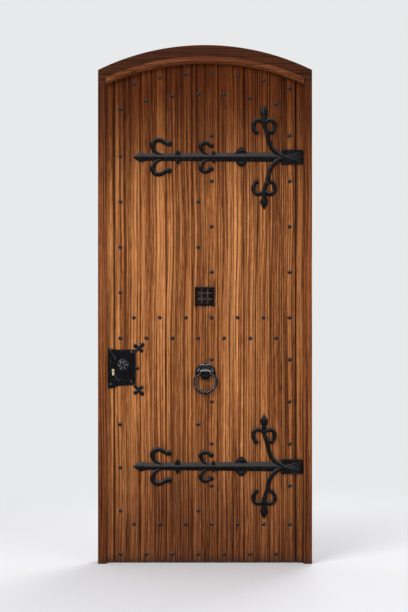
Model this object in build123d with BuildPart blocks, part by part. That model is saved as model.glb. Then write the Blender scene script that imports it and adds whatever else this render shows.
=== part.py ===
from build123d import *
import os
from math import atan2, cos, exp, hypot, pi, radians, sin, sqrt

# An arched plank door in its timber frame, closed.
# X runs across the door to its hinges, Y from the street to the inside, Z up, in millimetres.
# The origin is on the sill, in the middle of the opening, at the front of the frame.

os.makedirs("parts", exist_ok=True)

# Clear opening that the frame is made for, and how far the frame goes past its edge
opening_width = 1000.0
opening_crown = 2501.0
frame_cover = 20.0
arch_radius = 1180.0

# Frame
frame_depth = 84.0
lip_width = 20.0
lip_depth = 24.0
lip_bevel = 3.0
head_band = 37.0
moulding_height = 29.0
moulding_proud = 10.0
moulding_bevel = 9.0
jamb_tenon_inset = 6.0
jamb_tenon_thickness = 36.0
jamb_tenon_length = 30.0
fixing_radius = 5.0
fixing_height = 240.0
fixing_drop = 253.0

# Leaf in the frame
leaf_lap = 8.0
leaf_head_lap = 10.0
hinge_gap = 3.0
swing_clearance = 1.0
head_gap = 4.0
sill_gap = 7.0
stop_gap = 0.5

# Boards
board_count = 7
edge_board_sight = 37.25
board_thickness = 22.0
joint_vee = 4.0
edge_vee = 6.0
tongue_thickness = 6.0
tongue_depth = 6.0
tongue_setback = 11.0
tongue_play = 0.2
bead_count = 3
bead_pitch = 9.8
bead_depth = 3.0
bead_shape = ((0.12, 0.45), (0.35, 0.03), (0.65, 0.03), (0.88, 0.45), (1.0, 1.0))
quirk_half = 1.5

# Backing frame of the leaf
backing_thickness = 36.0
stile_width = 120.0
top_rail_depth = 190.0
middle_rail_height = 200.0
middle_rail_centre = 1147.0
bottom_rail_height = 240.0
muntin_width = 120.0
tenon_thickness = 12.0
tenon_shoulder = 15.0
rail_tenon_length = 50.0
muntin_tenon_length = 20.0
tenon_play = 0.2

# Nails
nail_offset = 33.0
nail_head = 20.0
nail_rise = 7.0
nail_sides = 6
nail_shank = 4.0
nail_length = 20.0
nail_play = 0.1
arch_row_insets = (46.0, 146.0)
middle_rail_rows = (1197.0, 1097.0)
bottom_rail_rows = (190.0, 44.0)
upper_pitch = 222.0
lower_pitches = (205.0, 210.5)

# Straps, with X from the end of the block at the hinges
upper_strap_drop = 455.0
lower_strap_z = 471.0
strap_setback = 4.0
strap_length = 826.0
strap_base = 6.0
strap_ridge = 12.0
spear_length = 68.0
bar_left_height = 27.0
bar_right_height = 46.0
block_length = 100.0
block_height = 69.0
block_thickness = 11.0
block_flare = 3.0
block_flare_run = 10.0
block_flare_out = 4.0
scroll_width = 14.0
scroll_rise = 10.5
scroll_knob = 9.5
bend_step = 42.0
large_scroll = [(-652.0, 6.0), (-740.0, 66.0), (-717.0, 91.0), (-656.0, 62.0)]
small_scroll = [(-448.0, 5.5), (-509.0, 52.0), (-484.0, 83.0), (-446.0, 60.0)]
large_collar = (-609.0, 26.0, 70.0)
small_collar = (-434.0, 15.0, 60.0)
collar_thickness = 9.0
boss_x = -299.0
boss_width = 68.0
boss_height = 88.0
boss_sides = 16
fleur_x = -181.0
fleur_branch = [(-89.0, 4.0), (-160.0, 71.6), (-181.0, 150.0), (-181.0, 186.0)]
fleur_petal = [(-174.5, 153.0), (-146.0, 180.0), (-122.5, 157.0), (-147.0, 116.0)]
fleur_leaf_foot = 179.0
stem_margin = 17.0
stem_spread = 13.0

# Lock
backset = 40.0
plug_z = 940.0
plug_radius = 6.5
plug_play = 0.05
cylinder_radius = 8.5
cylinder_sides = 20
cylinder_web = 10.0
cylinder_height = 33.0
cylinder_stand = 3.0
cylinder_play = 0.4
cylinder_room = 1.5
cam_slot = 10.0
cam_radius = 15.0
cam_play = 0.3
cam_bridge = 7.5
plate_thickness = 4.0
plate_setback = 9.0
plate_width = 129.0
plate_top = 1046.0
plate_bottom = 853.0
plate_waist = 7.0
plate_corner_drop = 4.0
plate_foot_rise = 24.0
plate_rivets_above = ((9.0, 8.0), (112.0, 11.0))
plate_rivets_below = ((14.0, 28.0), (112.0, 42.0))
plate_fold_left = 11.5
plate_fold_right = 35.0
plate_fold_depth = 1.2
plate_fold_end = 13.0
plate_rivet = 11.0
sprig_leaf = 26.0
sprig_width = 11.0
sprig_turn = 45.0
sprig_spread = 78.0
sprig_overlap = 4.0
sprig_side_step = (6.0, 7.0)
plate_ribs = [((15.0, 170.0), (37.0, 142.0)), ((31.0, 62.0), (49.0, 44.0))]
faceplate_width = 24.0
faceplate_height = 200.0
faceplate_thickness = 3.0
case_width = 62.0
case_height = 150.0
case_thickness = 18.0
case_wall = 2.0
case_play = 0.5
case_below_plug = 40.0
bolt_height = 34.0
bolt_head_length = 38.0
bolt_tail_length = 16.0
bolt_tail_drop = 9.0
bolt_above_plug = 45.0
bolt_play = 0.3
bolt_throw = 20.0
bolt_set_back = 0.5
strike_width = 26.0
strike_height = 110.0
strike_thickness = 2.5
strike_play = 1.5
cam_nose = 8.0
keyhole_width = 1.6
keyhole_height = 8.0
keyhole_depth = 20.0
thumb_width = 28.0
thumb_height = 13.0
thumb_length = 12.0

# Pull knobs
knob_inset = 71.3
knob_z = 966.0
knob_radius = 25.0
knob_lobes = 6
knob_sides = 18
knob_rose_radius = 29.0
knob_rose_thickness = 4.0
knob_neck_radius = 9.0
knob_neck_length = 14.0
knob_head_length = 26.0
spindle_side = 8.0
spindle_grip = 14.0
spindle_play = 0.2
escutcheon_width = 78.0
escutcheon_height = 150.0
escutcheon_thickness = 3.0

# Knocker
knocker_x = 2.0
pivot_z = 929.0
pivot_stand = 16.5
ring_radius = 51.5
ring_gap_angle = 26.0
ring_stock = 10.6
ring_bar_radius = 5.0
ring_bar_play = 0.1
ring_steps = 66
ring_step_twist = 33.0
ring_bead_radius = 8.0
ring_end_radius = 6.5
lug_half = 10.0
lug_height = 9.0
mask_width = 92.0
mask_height = 72.0
mask_middle = 11.0
mask_plate = 5.0
mask_dome = 17.0
mask_rows = 8
mask_columns = 14
mask_inset = 0.95
mouth_top = 8.5
jaw_half = 17.0
jaw_top = -9.5
jaw_bottom = -34.0
jaw_front = 17.0
stud_radius = 9.0
stud_play = 0.3
knocker_bolt_side = 6.0
knocker_bolt_spread = 22.0
knocker_bolt_z = 12.0
nut_side = 12.0
nut_thickness = 6.0

# Judas window
judas_x = -2.0
judas_z = 1302.0
judas_width = 71.0
judas_height = 74.0
grille_side_border = 12.5
grille_top_border = 8.0
grille_bottom_border = 15.0
grille_thickness = 9.0
grille_bevel = 2.5
grille_wave = 6.0
grille_bar_spacing = 29.6
grille_bar_width = 7.5
grille_bar_bevel = 1.8
flap_lap = 8.5
flap_thickness = 12.0
flap_gap = 2.0
flap_seat = 0.3
flap_frame_width = 12.0
button_length = 30.0
button_width = 12.0
button_thickness = 3.0
button_stand = 0.6
button_play = 0.1
button_screw_radius = 2.0
button_screw_depth = 8.0
flap_knob_radius = 9.0
flap_knob_length = 16.0
flap_knob_inset = 20.0

# Hinges: height, width of a plate, its thickness, barrel radius and pin radius
bottom_hinge_z = 330.0
middle_hinge_z = 1290.0
top_hinge_drop = 213.0
leaf_hinge = dict(height=110.0, reach=36.0, plate=2.5, barrel=6.5, pin=3.5)
flap_hinge = dict(height=44.0, reach=10.0, plate=1.2, barrel=2.6, pin=1.3)
hinge_stand = 0.5
barrel_sides = 12
knuckle_gap = 0.3
pin_play = 0.05

# Places that follow from the sizes
frame_half = opening_width / 2 + frame_cover
lip_half = opening_width / 2 - lip_width
hinge_edge = lip_half + leaf_lap
rebate_half = hinge_edge + hinge_gap
moulding_crown = opening_crown - head_band
lip_crown = moulding_crown - moulding_height
leaf_crown = lip_crown + leaf_head_lap
rebate_crown = leaf_crown + head_gap
head_crown = opening_crown + frame_cover
leaf_front = lip_depth + stop_gap
board_back = leaf_front + board_thickness
leaf_back = board_back + backing_thickness
backing_middle = board_back + backing_thickness / 2
swing_x = hinge_edge + hinge_gap / 2
swing_y = frame_depth + leaf_hinge["barrel"] + hinge_stand
swing_reach = swing_x + rebate_half - swing_clearance
lock_edge = swing_x - sqrt(swing_reach**2 - (swing_y - leaf_front) ** 2)
lock_stile_inside = lock_edge + stile_width
hinge_stile_inside = hinge_edge - stile_width
board_pitch = 2 * (lip_half - edge_board_sight) / board_count
strap_end = lip_half - strap_setback
upper_strap_z = lip_crown - upper_strap_drop
plate_left = plate_setback - lip_half
plate_right = plate_left + plate_width
knob_x = plate_left + knob_inset
top_rail_crown = leaf_crown - top_rail_depth
middle_rail_top = middle_rail_centre + middle_rail_height / 2
middle_rail_bottom = middle_rail_centre - middle_rail_height / 2
bottom_rail_top = sill_gap + bottom_rail_height
plug_x = lock_edge + backset
bolt_z = plug_z + bolt_above_plug
bolt_thickness = case_thickness - 2 * case_wall - 2 * bolt_play
case_bottom = plug_z - case_below_plug
faceplate_bottom = case_bottom + case_height / 2 - faceplate_height / 2
cylinder_front = leaf_front - plate_thickness - cylinder_stand
cylinder_back = leaf_back + escutcheon_thickness + cylinder_stand
cylinder_middle_z = plug_z + cylinder_radius - cylinder_height / 2
cylinder_mortise = (
    2 * (cylinder_radius + cylinder_room),
    cylinder_height + 2 * cylinder_room,
)
flap_half = judas_width / 2 + flap_lap
flap_top = judas_height / 2 + flap_lap
flap_swing_x = judas_x + flap_half + flap_gap / 2
flap_back = leaf_back + flap_seat + flap_thickness
flap_swing_y = flap_back + flap_hinge["barrel"] + hinge_stand
button_x = judas_x - flap_half - flap_gap - flap_frame_width / 2
ring_centre_drop = ring_radius * cos(radians(ring_gap_angle))
stud_z = pivot_z - ring_centre_drop - ring_radius


def arc_height(crown, x):
    """Height at x of a head curve whose middle is at crown."""
    return crown - arch_radius + sqrt(arch_radius**2 - x**2)


jamb_top = arc_height(lip_crown, lip_half)
fixing_heights = (fixing_height, jamb_top - fixing_drop)
leaf_hinge_heights = (bottom_hinge_z, middle_hinge_z, jamb_top - top_hinge_drop)


def street_plane(x, z, y=leaf_front):
    """Plane on an outer face, x to the right, y up, looking out to the street."""
    return Plane(origin=(x, y, z), x_dir=(1, 0, 0), z_dir=(0, -1, 0))


def inside_plane(x, z, y=leaf_back):
    """Plane on an inner face, y up, looking into the building."""
    return Plane(origin=(x, y, z), x_dir=(-1, 0, 0), z_dir=(0, 1, 0))


def upright(y):
    """Vertical plane across the opening at depth y, in the door's own X and Z."""
    return Plane.XZ.offset(-y)


def arched_panel(y, left, right, bottom, crown):
    """Panel outline with a flat foot and a head curve on top."""
    middle = (left + right) / 2
    with BuildSketch(upright(y)) as panel:
        with BuildLine():
            Polyline(
                (left, arc_height(crown, left)),
                (left, bottom),
                (right, bottom),
                (right, arc_height(crown, right)),
            )
            ThreePointArc(
                (right, arc_height(crown, right)),
                (middle, arc_height(crown, middle)),
                (left, arc_height(crown, left)),
            )
        make_face()
    return panel.sketch


def arched_band(y, outer_half, outer_crown, inner_half, inner_crown, foot):
    """Band between two head curves, with straight ends down to the foot."""
    with BuildSketch(upright(y)) as band:
        with BuildLine():
            outer_end = (outer_half, arc_height(outer_crown, outer_half))
            outer_start = (-outer_half, outer_end[1])
            inner_end = (inner_half, arc_height(inner_crown, inner_half))
            inner_start = (-inner_half, inner_end[1])
            ThreePointArc(outer_start, (0, outer_crown), outer_end)
            ThreePointArc(inner_end, (0, inner_crown), inner_start)
            Polyline(outer_end, (outer_half, foot), (inner_half, foot), inner_end)
            Polyline(inner_start, (-inner_half, foot), (-outer_half, foot), outer_start)
        make_face()
    return band.sketch


def span_box(x, y, z, mode=Mode.ADD):
    """Box between two values on each axis."""
    size = (x[1] - x[0], y[1] - y[0], z[1] - z[0])
    with Locations(((x[0] + x[1]) / 2, (y[0] + y[1]) / 2, (z[0] + z[1]) / 2)):
        Box(*size, mode=mode)


def save(part, name):
    """Label a piece and write it to its own file."""
    part.label = name
    export_step(part, f"parts/{name}.step")


def ring_points(radius, height, count, lobe=0.0, lobes=0, turn=0.0):
    """Points round a ring at a height, with lobes that fall in between by a share."""
    points = []
    for index in range(count):
        angle = 2 * pi * index / count
        reach = radius * (1 - lobe * (1 - cos(lobes * angle)) / 2)
        points.append((reach * cos(angle + turn), reach * sin(angle + turn), height))
    return points


def faceted(rings, tip=None):
    """Solid of flat facets through closed rings of points, ending flat or in a tip on its axis."""
    faces = [Face(Wire.make_polygon(rings[0]))]
    for near, far in zip(rings, rings[1:]):
        for index in range(len(near)):
            after = (index + 1) % len(near)
            faces.append(Face(Wire.make_polygon([near[index], near[after], far[after]])))
            faces.append(Face(Wire.make_polygon([near[index], far[after], far[index]])))
    if tip is None:
        faces.append(Face(Wire.make_polygon(rings[-1])))
    else:
        for index, point in enumerate(rings[-1]):
            after = rings[-1][(index + 1) % len(rings[-1])]
            faces.append(Face(Wire.make_polygon([point, after, (0, 0, tip)])))
    return Solid(Shell(faces))


# Lift-off hinges: a plate that carries the pin and a plate with the knuckle that turns on it

def hinge_plate(hinge, gap, moving, x, y, z):
    """One plate of a lift-off hinge, with its pin's axis at x, y and its middle at z."""
    side = -1 if moving else 1
    near = x + side * gap / 2
    far = near + side * hinge["plate"]
    across = (min(near, far), max(near, far))
    wood = y - hinge["barrel"] - hinge_stand
    half = hinge["height"] / 2
    low, high = (z + knuckle_gap, z + half) if moving else (z - half, z)
    with BuildPart() as plate:
        span_box(across, (wood - hinge["reach"], wood), (z - half, z + half))
        span_box(across, (wood, y), (low, high))
        with BuildSketch(Plane.XY.offset(low)):
            with Locations((x, y)):
                RegularPolygon(hinge["barrel"], barrel_sides)
        extrude(amount=high - low)
        with BuildSketch(Plane.XY.offset(z)):
            with Locations((x, y)):
                Circle(hinge["pin"] + (pin_play if moving else 0))
        if moving:
            extrude(amount=half, mode=Mode.SUBTRACT)
        else:
            extrude(amount=half - knuckle_gap)
    return plate.part


def cut_hinge_seats(hinge, gap, moving, x, y, heights):
    """Recesses in the wood for the plates of a set of hinges."""
    side = -1 if moving else 1
    near = x + side * gap / 2
    far = near + side * hinge["plate"]
    wood = y - hinge["barrel"] - hinge_stand
    for z in heights:
        span_box(
            (min(near, far), max(near, far)),
            (wood - hinge["reach"], wood),
            (z - hinge["height"] / 2, z + hinge["height"] / 2),
            mode=Mode.SUBTRACT,
        )


# Frame: built up in two layers, jambs and arched head behind a facing that the leaf shuts on

def make_facing(side):
    """Upright of the facing with a bevel along its inner edge, side is -1 left and 1 right."""
    with BuildPart() as facing:
        with BuildSketch():
            with BuildLine():
                Polyline(
                    (side * (lip_half + lip_bevel), 0),
                    (side * frame_half, 0),
                    (side * frame_half, lip_depth),
                    (side * lip_half, lip_depth),
                    (side * lip_half, lip_bevel),
                    close=True,
                )
            make_face()
        extrude(amount=jamb_top)
    return facing.part


def make_jamb(side):
    """Jamb with a tenon on top, side is -1 on the left and 1 on the right."""
    tenon = (rebate_half + jamb_tenon_inset, frame_half - jamb_tenon_inset)
    middle = (lip_depth + frame_depth) / 2
    with BuildPart() as jamb:
        span_box(
            (min(side * rebate_half, side * frame_half), max(side * rebate_half, side * frame_half)),
            (lip_depth, frame_depth),
            (0, jamb_top),
        )
        span_box(
            (min(side * tenon[0], side * tenon[1]), max(side * tenon[0], side * tenon[1])),
            (middle - jamb_tenon_thickness / 2, middle + jamb_tenon_thickness / 2),
            (jamb_top, jamb_top + jamb_tenon_length),
        )
        with BuildSketch(Plane.YZ.offset(side * rebate_half)) as fixings:
            with Locations(*[(middle, z) for z in fixing_heights]):
                Circle(fixing_radius)
        extrude(fixings.sketch, amount=side * frame_depth, mode=Mode.SUBTRACT)
        if side > 0:
            cut_hinge_seats(leaf_hinge, hinge_gap, False, swing_x, swing_y, leaf_hinge_heights)
        else:
            cut_strike_seat()
    return jamb.part


def cut_strike_seat():
    """Recess for the strike plate and the pocket that the bolt enters."""
    span_box(
        (-rebate_half - strike_thickness, -rebate_half),
        (backing_middle - strike_width / 2, backing_middle + strike_width / 2),
        (bolt_z - strike_height / 2, bolt_z + strike_height / 2),
        mode=Mode.SUBTRACT,
    )
    bolt_pocket(-rebate_half - bolt_throw - strike_play, -rebate_half)


def bolt_pocket(left, right):
    """Cut the way of the bolt, with room all round it."""
    half_y = bolt_thickness / 2 + strike_play
    half_z = bolt_height / 2 + strike_play
    span_box(
        (left, right),
        (backing_middle - half_y, backing_middle + half_y),
        (bolt_z - half_z, bolt_z + half_z),
        mode=Mode.SUBTRACT,
    )


for name, side in (("left", -1), ("right", 1)):
    save(make_facing(side), f"facing_{name}")
    save(make_jamb(side), f"jamb_{name}")

with BuildPart() as facing_head:
    extrude(
        arched_band(0, frame_half, head_crown, lip_half, moulding_crown, jamb_top),
        amount=-lip_depth,
    )
facing_head.part.label = "facing_head"
export_step(facing_head.part, "parts/facing_head.step")

with BuildPart() as frame_head:
    extrude(
        arched_band(lip_depth, frame_half, head_crown, rebate_half, rebate_crown, jamb_top),
        amount=lip_depth - frame_depth,
    )
    for side in (-1, 1):
        near = side * (rebate_half + jamb_tenon_inset - tenon_play)
        far = side * (frame_half - jamb_tenon_inset + tenon_play)
        middle = (lip_depth + frame_depth) / 2
        half = jamb_tenon_thickness / 2 + tenon_play
        span_box(
            (min(near, far), max(near, far)),
            (middle - half, middle + half),
            (jamb_top, jamb_top + jamb_tenon_length + tenon_play),
            mode=Mode.SUBTRACT,
        )
frame_head.part.label = "frame_head"
export_step(frame_head.part, "parts/frame_head.step")

with BuildPart() as head_moulding:
    with BuildSketch(upright(-moulding_proud)):
        with BuildLine():
            moulding_end = arc_height(moulding_crown, lip_half)
            ThreePointArc((-lip_half, moulding_end), (0, moulding_crown), (lip_half, moulding_end))
            Line((lip_half, moulding_end), (lip_half, jamb_top))
            ThreePointArc((lip_half, jamb_top), (0, lip_crown), (-lip_half, jamb_top))
            Line((-lip_half, jamb_top), (-lip_half, moulding_end))
        make_face()
    extrude(amount=-moulding_proud - lip_depth)
    front_curves = head_moulding.faces().sort_by(Axis.Y)[0].edges().filter_by(GeomType.CIRCLE)
    chamfer(front_curves.sort_by(Axis.Z)[0], length=moulding_bevel)
head_moulding.part.label = "head_moulding"
export_step(head_moulding.part, "parts/head_moulding.step")

with BuildPart() as strike_plate:
    span_box(
        (-rebate_half - strike_thickness, -rebate_half),
        (backing_middle - strike_width / 2, backing_middle + strike_width / 2),
        (bolt_z - strike_height / 2, bolt_z + strike_height / 2),
    )
    bolt_pocket(-rebate_half - strike_thickness, -rebate_half)
strike_plate.part.label = "strike_plate"
export_step(strike_plate.part, "parts/strike_plate.step")

with BuildPart() as jamb_hinge_plates:
    for z in leaf_hinge_heights:
        add(hinge_plate(leaf_hinge, hinge_gap, False, swing_x, swing_y, z))
jamb_hinge_plates.part.label = "jamb_hinge_plates"
export_step(jamb_hinge_plates.part, "parts/jamb_hinge_plates.step")

with BuildPart() as leaf_hinge_plates:
    for z in leaf_hinge_heights:
        add(hinge_plate(leaf_hinge, hinge_gap, True, swing_x, swing_y, z))
leaf_hinge_plates.part.label = "leaf_hinge_plates"
export_step(leaf_hinge_plates.part, "parts/leaf_hinge_plates.step")


# What is cut through the leaf: cylinder, knob bolt, knocker bolts, judas window, nails

def euro_profile(plane, play):
    """Keyhole-shaped section of the lock cylinder, its plug on the plane's origin."""
    foot = cylinder_height - cylinder_radius + play
    half = cylinder_web / 2 + play
    with BuildSketch(plane) as profile:
        RegularPolygon(cylinder_radius + play, cylinder_sides)
        with BuildLine():
            Polyline(
                (-half, 0),
                (half, 0),
                (half, 0.45 * cylinder_web - foot),
                (0.6 * half, -foot),
                (-0.6 * half, -foot),
                (-half, 0.45 * cylinder_web - foot),
                close=True,
            )
        make_face()
    return profile.sketch


def punch(x, z, width, height, depth):
    """Square hole from the leaf's face inwards."""
    with BuildSketch(street_plane(x, z)) as hole:
        Rectangle(width, height)
    extrude(hole.sketch, amount=-depth, mode=Mode.SUBTRACT)


def cut_lock_holes():
    """Mortise of the lock cylinder and hole of the spindle that joins the two pull knobs."""
    depth = leaf_back - leaf_front
    punch(plug_x, cylinder_middle_z, *cylinder_mortise, depth)
    punch(knob_x, knob_z, spindle_side + 2 * spindle_play, spindle_side + 2 * spindle_play, depth)


def cut_middle_holes():
    """Judas window and the knocker's bolt holes, through centre board and muntins."""
    depth = leaf_back - leaf_front
    bolt_hole = knocker_bolt_side + 2 * spindle_play
    punch(judas_x, judas_z, judas_width, judas_height, depth)
    for side in (-1, 1):
        x = knocker_x + side * knocker_bolt_spread
        punch(x, pivot_z + knocker_bolt_z, bolt_hole, bolt_hole, depth)


def board_edge(index):
    """X of the left edge of a middle board, or of the right edge of the one before."""
    return (index - board_count / 2) * board_pitch


def board_middle(index):
    """X of the middle of a middle board."""
    return board_edge(index) + board_pitch / 2


def under_fitting(x, z):
    """Whether an iron fitting takes a nail's place."""
    in_judas = abs(x - judas_x) < judas_width and abs(z - judas_z) < judas_height
    in_lock = x < plate_right + sprig_leaf and plate_bottom < z < plate_top
    in_knocker = abs(x - knocker_x) < ring_radius and 0 < pivot_z + ring_radius - z < 3 * ring_radius
    in_strap = False
    for strap_z in (upper_strap_z, lower_strap_z):
        if x > strap_end - strap_length and abs(z - strap_z) < block_height / 2:
            in_strap = True
    return in_judas or in_lock or in_knocker or in_strap


def nail_run(x, start, end, pitch):
    """Nails between two rows, as many as keep a pitch from the far row or a little less."""
    count = int(abs(end - start) / pitch - 0.5)
    step = pitch if end > start else -pitch
    return [(x, start + (index + 1) * step) for index in range(count)]


def nail_points(index):
    """X and Z of the nails in one middle board: rows on the rails, runs on stiles and muntins."""
    points = []
    sides = (1, -1)
    for row in (0, 1):
        x = board_middle(index) + sides[row] * nail_offset
        arch_row = arc_height(lip_crown, x) - arch_row_insets[row]
        middle_row = middle_rail_rows[row]
        points += [(x, arch_row), (x, middle_row), (x, bottom_rail_rows[row])]
        on_stile = index == (board_count - 1, 0)[row]
        if on_stile or index == board_count // 2:
            points += nail_run(x, middle_row, arch_row, upper_pitch)
            points += nail_run(x, middle_row, bottom_rail_rows[row], lower_pitches[row])
    return [point for point in points if not under_fitting(*point)]


def make_board(left, right, vee_left, vee_right, beaded, nails=(), cuts=()):
    """Board with a tongue on its right edge and a groove in its left one."""
    face = leaf_front
    tongue_front = face + tongue_setback
    tongue_back = tongue_front + tongue_thickness
    groove_depth = tongue_depth + tongue_play
    middle = (left + right) / 2
    first_quirk = middle - bead_count * bead_pitch / 2
    with BuildPart() as board:
        with BuildSketch(Plane.XY.offset(sill_gap)):
            with BuildLine():
                if beaded:
                    Line((left + vee_left, face), (first_quirk - quirk_half, face))
                    Line((first_quirk - quirk_half, face), (first_quirk, face + bead_depth))
                    reeds = [(first_quirk, face + bead_depth)]
                    for bead in range(bead_count):
                        start = first_quirk + bead * bead_pitch
                        for share, depth in bead_shape:
                            reeds.append((start + share * bead_pitch, face + depth * bead_depth))
                    Polyline(*reeds)
                    last_quirk = first_quirk + bead_count * bead_pitch
                    Line((last_quirk, face + bead_depth), (last_quirk + quirk_half, face))
                    Line((last_quirk + quirk_half, face), (right - vee_right, face))
                else:
                    Line((left + vee_left, face), (right - vee_right, face))
                Polyline(
                    (right - vee_right, face),
                    (right, face + vee_right),
                    (right, board_back),
                    (left, board_back),
                    (left, face + vee_left),
                    (left + vee_left, face),
                )
            make_face()
            if right < hinge_edge:
                with BuildLine():
                    Polyline(
                        (right - 1, tongue_front),
                        (right + tongue_depth, tongue_front),
                        (right + tongue_depth, tongue_back),
                        (right - 1, tongue_back),
                        close=True,
                    )
                make_face()
            if left > lock_edge:
                with BuildLine():
                    Polyline(
                        (left, tongue_front - tongue_play),
                        (left + groove_depth, tongue_front - tongue_play),
                        (left + groove_depth, tongue_back + tongue_play),
                        (left, tongue_back + tongue_play),
                        close=True,
                    )
                make_face(mode=Mode.SUBTRACT)
        extrude(amount=leaf_crown - sill_gap)
        panel = arched_panel(face, lock_edge, hinge_edge, sill_gap, leaf_crown)
        extrude(panel, amount=-board_thickness, mode=Mode.INTERSECT)
        if nails:
            nail_shanks(nails, nail_play)
        for cut in cuts:
            cut()
    return board.part


def nail_shanks(points, play):
    """Square nail shanks with no play, or with play the holes that they fill."""
    side = nail_shank + 2 * play
    with BuildSketch(street_plane(0, 0)) as shanks:
        with Locations(*points):
            Rectangle(side, side)
    mode = Mode.SUBTRACT if play else Mode.ADD
    extrude(shanks.sketch, amount=-nail_length - play, mode=mode)


def cut_stud_hole():
    """Hole of the stud that the knocker strikes."""
    side = nail_shank + 2 * nail_play
    punch(knocker_x, stud_z, side, side, nail_length + nail_play)


last_board = board_count - 1
for index in range(board_count):
    board_cuts = []
    if index == 0:
        board_cuts.append(cut_lock_holes)
    if index == board_count // 2:
        board_cuts += [cut_middle_holes, cut_stud_hole]
    board = make_board(
        board_edge(index),
        board_edge(index + 1),
        edge_vee if index == 0 else joint_vee,
        edge_vee if index == last_board else joint_vee,
        True,
        nail_points(index),
        board_cuts,
    )
    save(board, f"board_{index + 1}")

save(
    make_board(lock_edge, board_edge(0), joint_vee / 2, edge_vee, False, cuts=[cut_lock_holes]),
    "lock_edge_board",
)
save(
    make_board(board_edge(board_count), hinge_edge, edge_vee, joint_vee / 2, False),
    "hinge_edge_board",
)

with BuildPart() as board_nails:
    all_nails = [point for index in range(board_count) for point in nail_points(index)]
    nail_shanks(all_nails, 0)
    head = faceted([ring_points(nail_head / 2, 0, nail_sides)], tip=nail_rise)
    with Locations(*[street_plane(x, z) for x, z in all_nails]):
        add(head)
board_nails.part.label = "board_nails"
export_step(board_nails.part, "parts/board_nails.step")


# Backing frame: stiles, rails and muntins, tenoned together behind the boards

def tenon(x, z, play=0.0, mode=Mode.ADD):
    """Tenon in the middle of the backing's thickness, or its mortise."""
    half = tenon_thickness / 2 + play
    span_box(x, (backing_middle - half, backing_middle + half), z, mode=mode)


def rail_heights():
    """Bottom and top of each rail's tenon at the stiles."""
    arch_drop = arc_height(0, lock_stile_inside)
    return {
        "bottom": (sill_gap + tenon_shoulder, bottom_rail_top - tenon_shoulder),
        "middle": (middle_rail_bottom + tenon_shoulder, middle_rail_top - tenon_shoulder),
        "top": (
            top_rail_crown + arch_drop + tenon_shoulder,
            leaf_crown + arch_drop - 2 * tenon_shoulder,
        ),
    }


def backing_outline(left, right, bottom):
    """Keep what lies within the leaf's arched outline."""
    panel = arched_panel(board_back, left, right, bottom, leaf_crown)
    extrude(panel, amount=-backing_thickness, mode=Mode.INTERSECT)


def make_stile(left, right, inside, into):
    """Upright of the backing, mortised for the rails on its inside edge."""
    with BuildPart() as stile:
        span_box((left, right), (board_back, leaf_back), (sill_gap, leaf_crown))
        backing_outline(left, right, sill_gap)
        end = inside + into * (rail_tenon_length + tenon_play)
        for low, high in rail_heights().values():
            mortise = (low - tenon_play, high + tenon_play)
            tenon((min(inside, end), max(inside, end)), mortise, tenon_play, Mode.SUBTRACT)
        if into > 0:
            cut_hinge_seats(leaf_hinge, hinge_gap, True, swing_x, swing_y, leaf_hinge_heights)
        else:
            cut_lock_holes()
            cut_lock_seat()
    return stile.part


def cut_lock_seat():
    """Mortise of the lock case and the recess of its faceplate, from the closing edge."""
    half = case_thickness / 2 + case_play
    span_box(
        (lock_edge, lock_edge + case_width + case_play),
        (backing_middle - half, backing_middle + half),
        (case_bottom - case_play, case_bottom + case_height + case_play),
        mode=Mode.SUBTRACT,
    )
    span_box(
        (lock_edge, lock_edge + faceplate_thickness),
        (backing_middle - faceplate_width / 2, backing_middle + faceplate_width / 2),
        (faceplate_bottom, faceplate_bottom + faceplate_height),
        mode=Mode.SUBTRACT,
    )


save(make_stile(lock_edge, lock_stile_inside, lock_stile_inside, -1), "lock_stile")
save(make_stile(hinge_stile_inside, hinge_edge, hinge_stile_inside, 1), "hinge_stile")


def rail_tenons(low, high):
    """Tenon on each end of a rail."""
    tenon((lock_stile_inside - rail_tenon_length, lock_stile_inside), (low, high))
    tenon((hinge_stile_inside, hinge_stile_inside + rail_tenon_length), (low, high))


def muntin_mortise(low, high):
    """Mortise in a rail for the end of a muntin."""
    half = muntin_width / 2 - tenon_shoulder + tenon_play
    tenon((-half, half), (low, high), tenon_play, Mode.SUBTRACT)


rail_tenon_spans = rail_heights()
muntin_reach = muntin_tenon_length + tenon_play

with BuildPart() as top_rail:
    span_box(
        (lock_stile_inside, hinge_stile_inside),
        (board_back, leaf_back),
        (top_rail_crown - top_rail_depth, leaf_crown),
    )
    backing_outline(lock_stile_inside, hinge_stile_inside, top_rail_crown - top_rail_depth)
    extrude(
        arched_panel(board_back, lock_edge, hinge_edge, sill_gap, top_rail_crown),
        amount=-backing_thickness,
        mode=Mode.SUBTRACT,
    )
    rail_tenons(*rail_tenon_spans["top"])
    muntin_mortise(top_rail_crown - tenon_shoulder, top_rail_crown + muntin_reach)
top_rail.part.label = "top_rail"
export_step(top_rail.part, "parts/top_rail.step")

with BuildPart() as middle_rail:
    span_box(
        (lock_stile_inside, hinge_stile_inside),
        (board_back, leaf_back),
        (middle_rail_bottom, middle_rail_top),
    )
    rail_tenons(*rail_tenon_spans["middle"])
    muntin_mortise(middle_rail_top - muntin_reach, middle_rail_top)
    muntin_mortise(middle_rail_bottom, middle_rail_bottom + muntin_reach)
middle_rail.part.label = "middle_rail"
export_step(middle_rail.part, "parts/middle_rail.step")

with BuildPart() as bottom_rail:
    span_box(
        (lock_stile_inside, hinge_stile_inside),
        (board_back, leaf_back),
        (sill_gap, bottom_rail_top),
    )
    rail_tenons(*rail_tenon_spans["bottom"])
    muntin_mortise(bottom_rail_top - muntin_reach, bottom_rail_top)
bottom_rail.part.label = "bottom_rail"
export_step(bottom_rail.part, "parts/bottom_rail.step")

muntin_half = muntin_width / 2
tenon_half = muntin_half - tenon_shoulder

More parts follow.
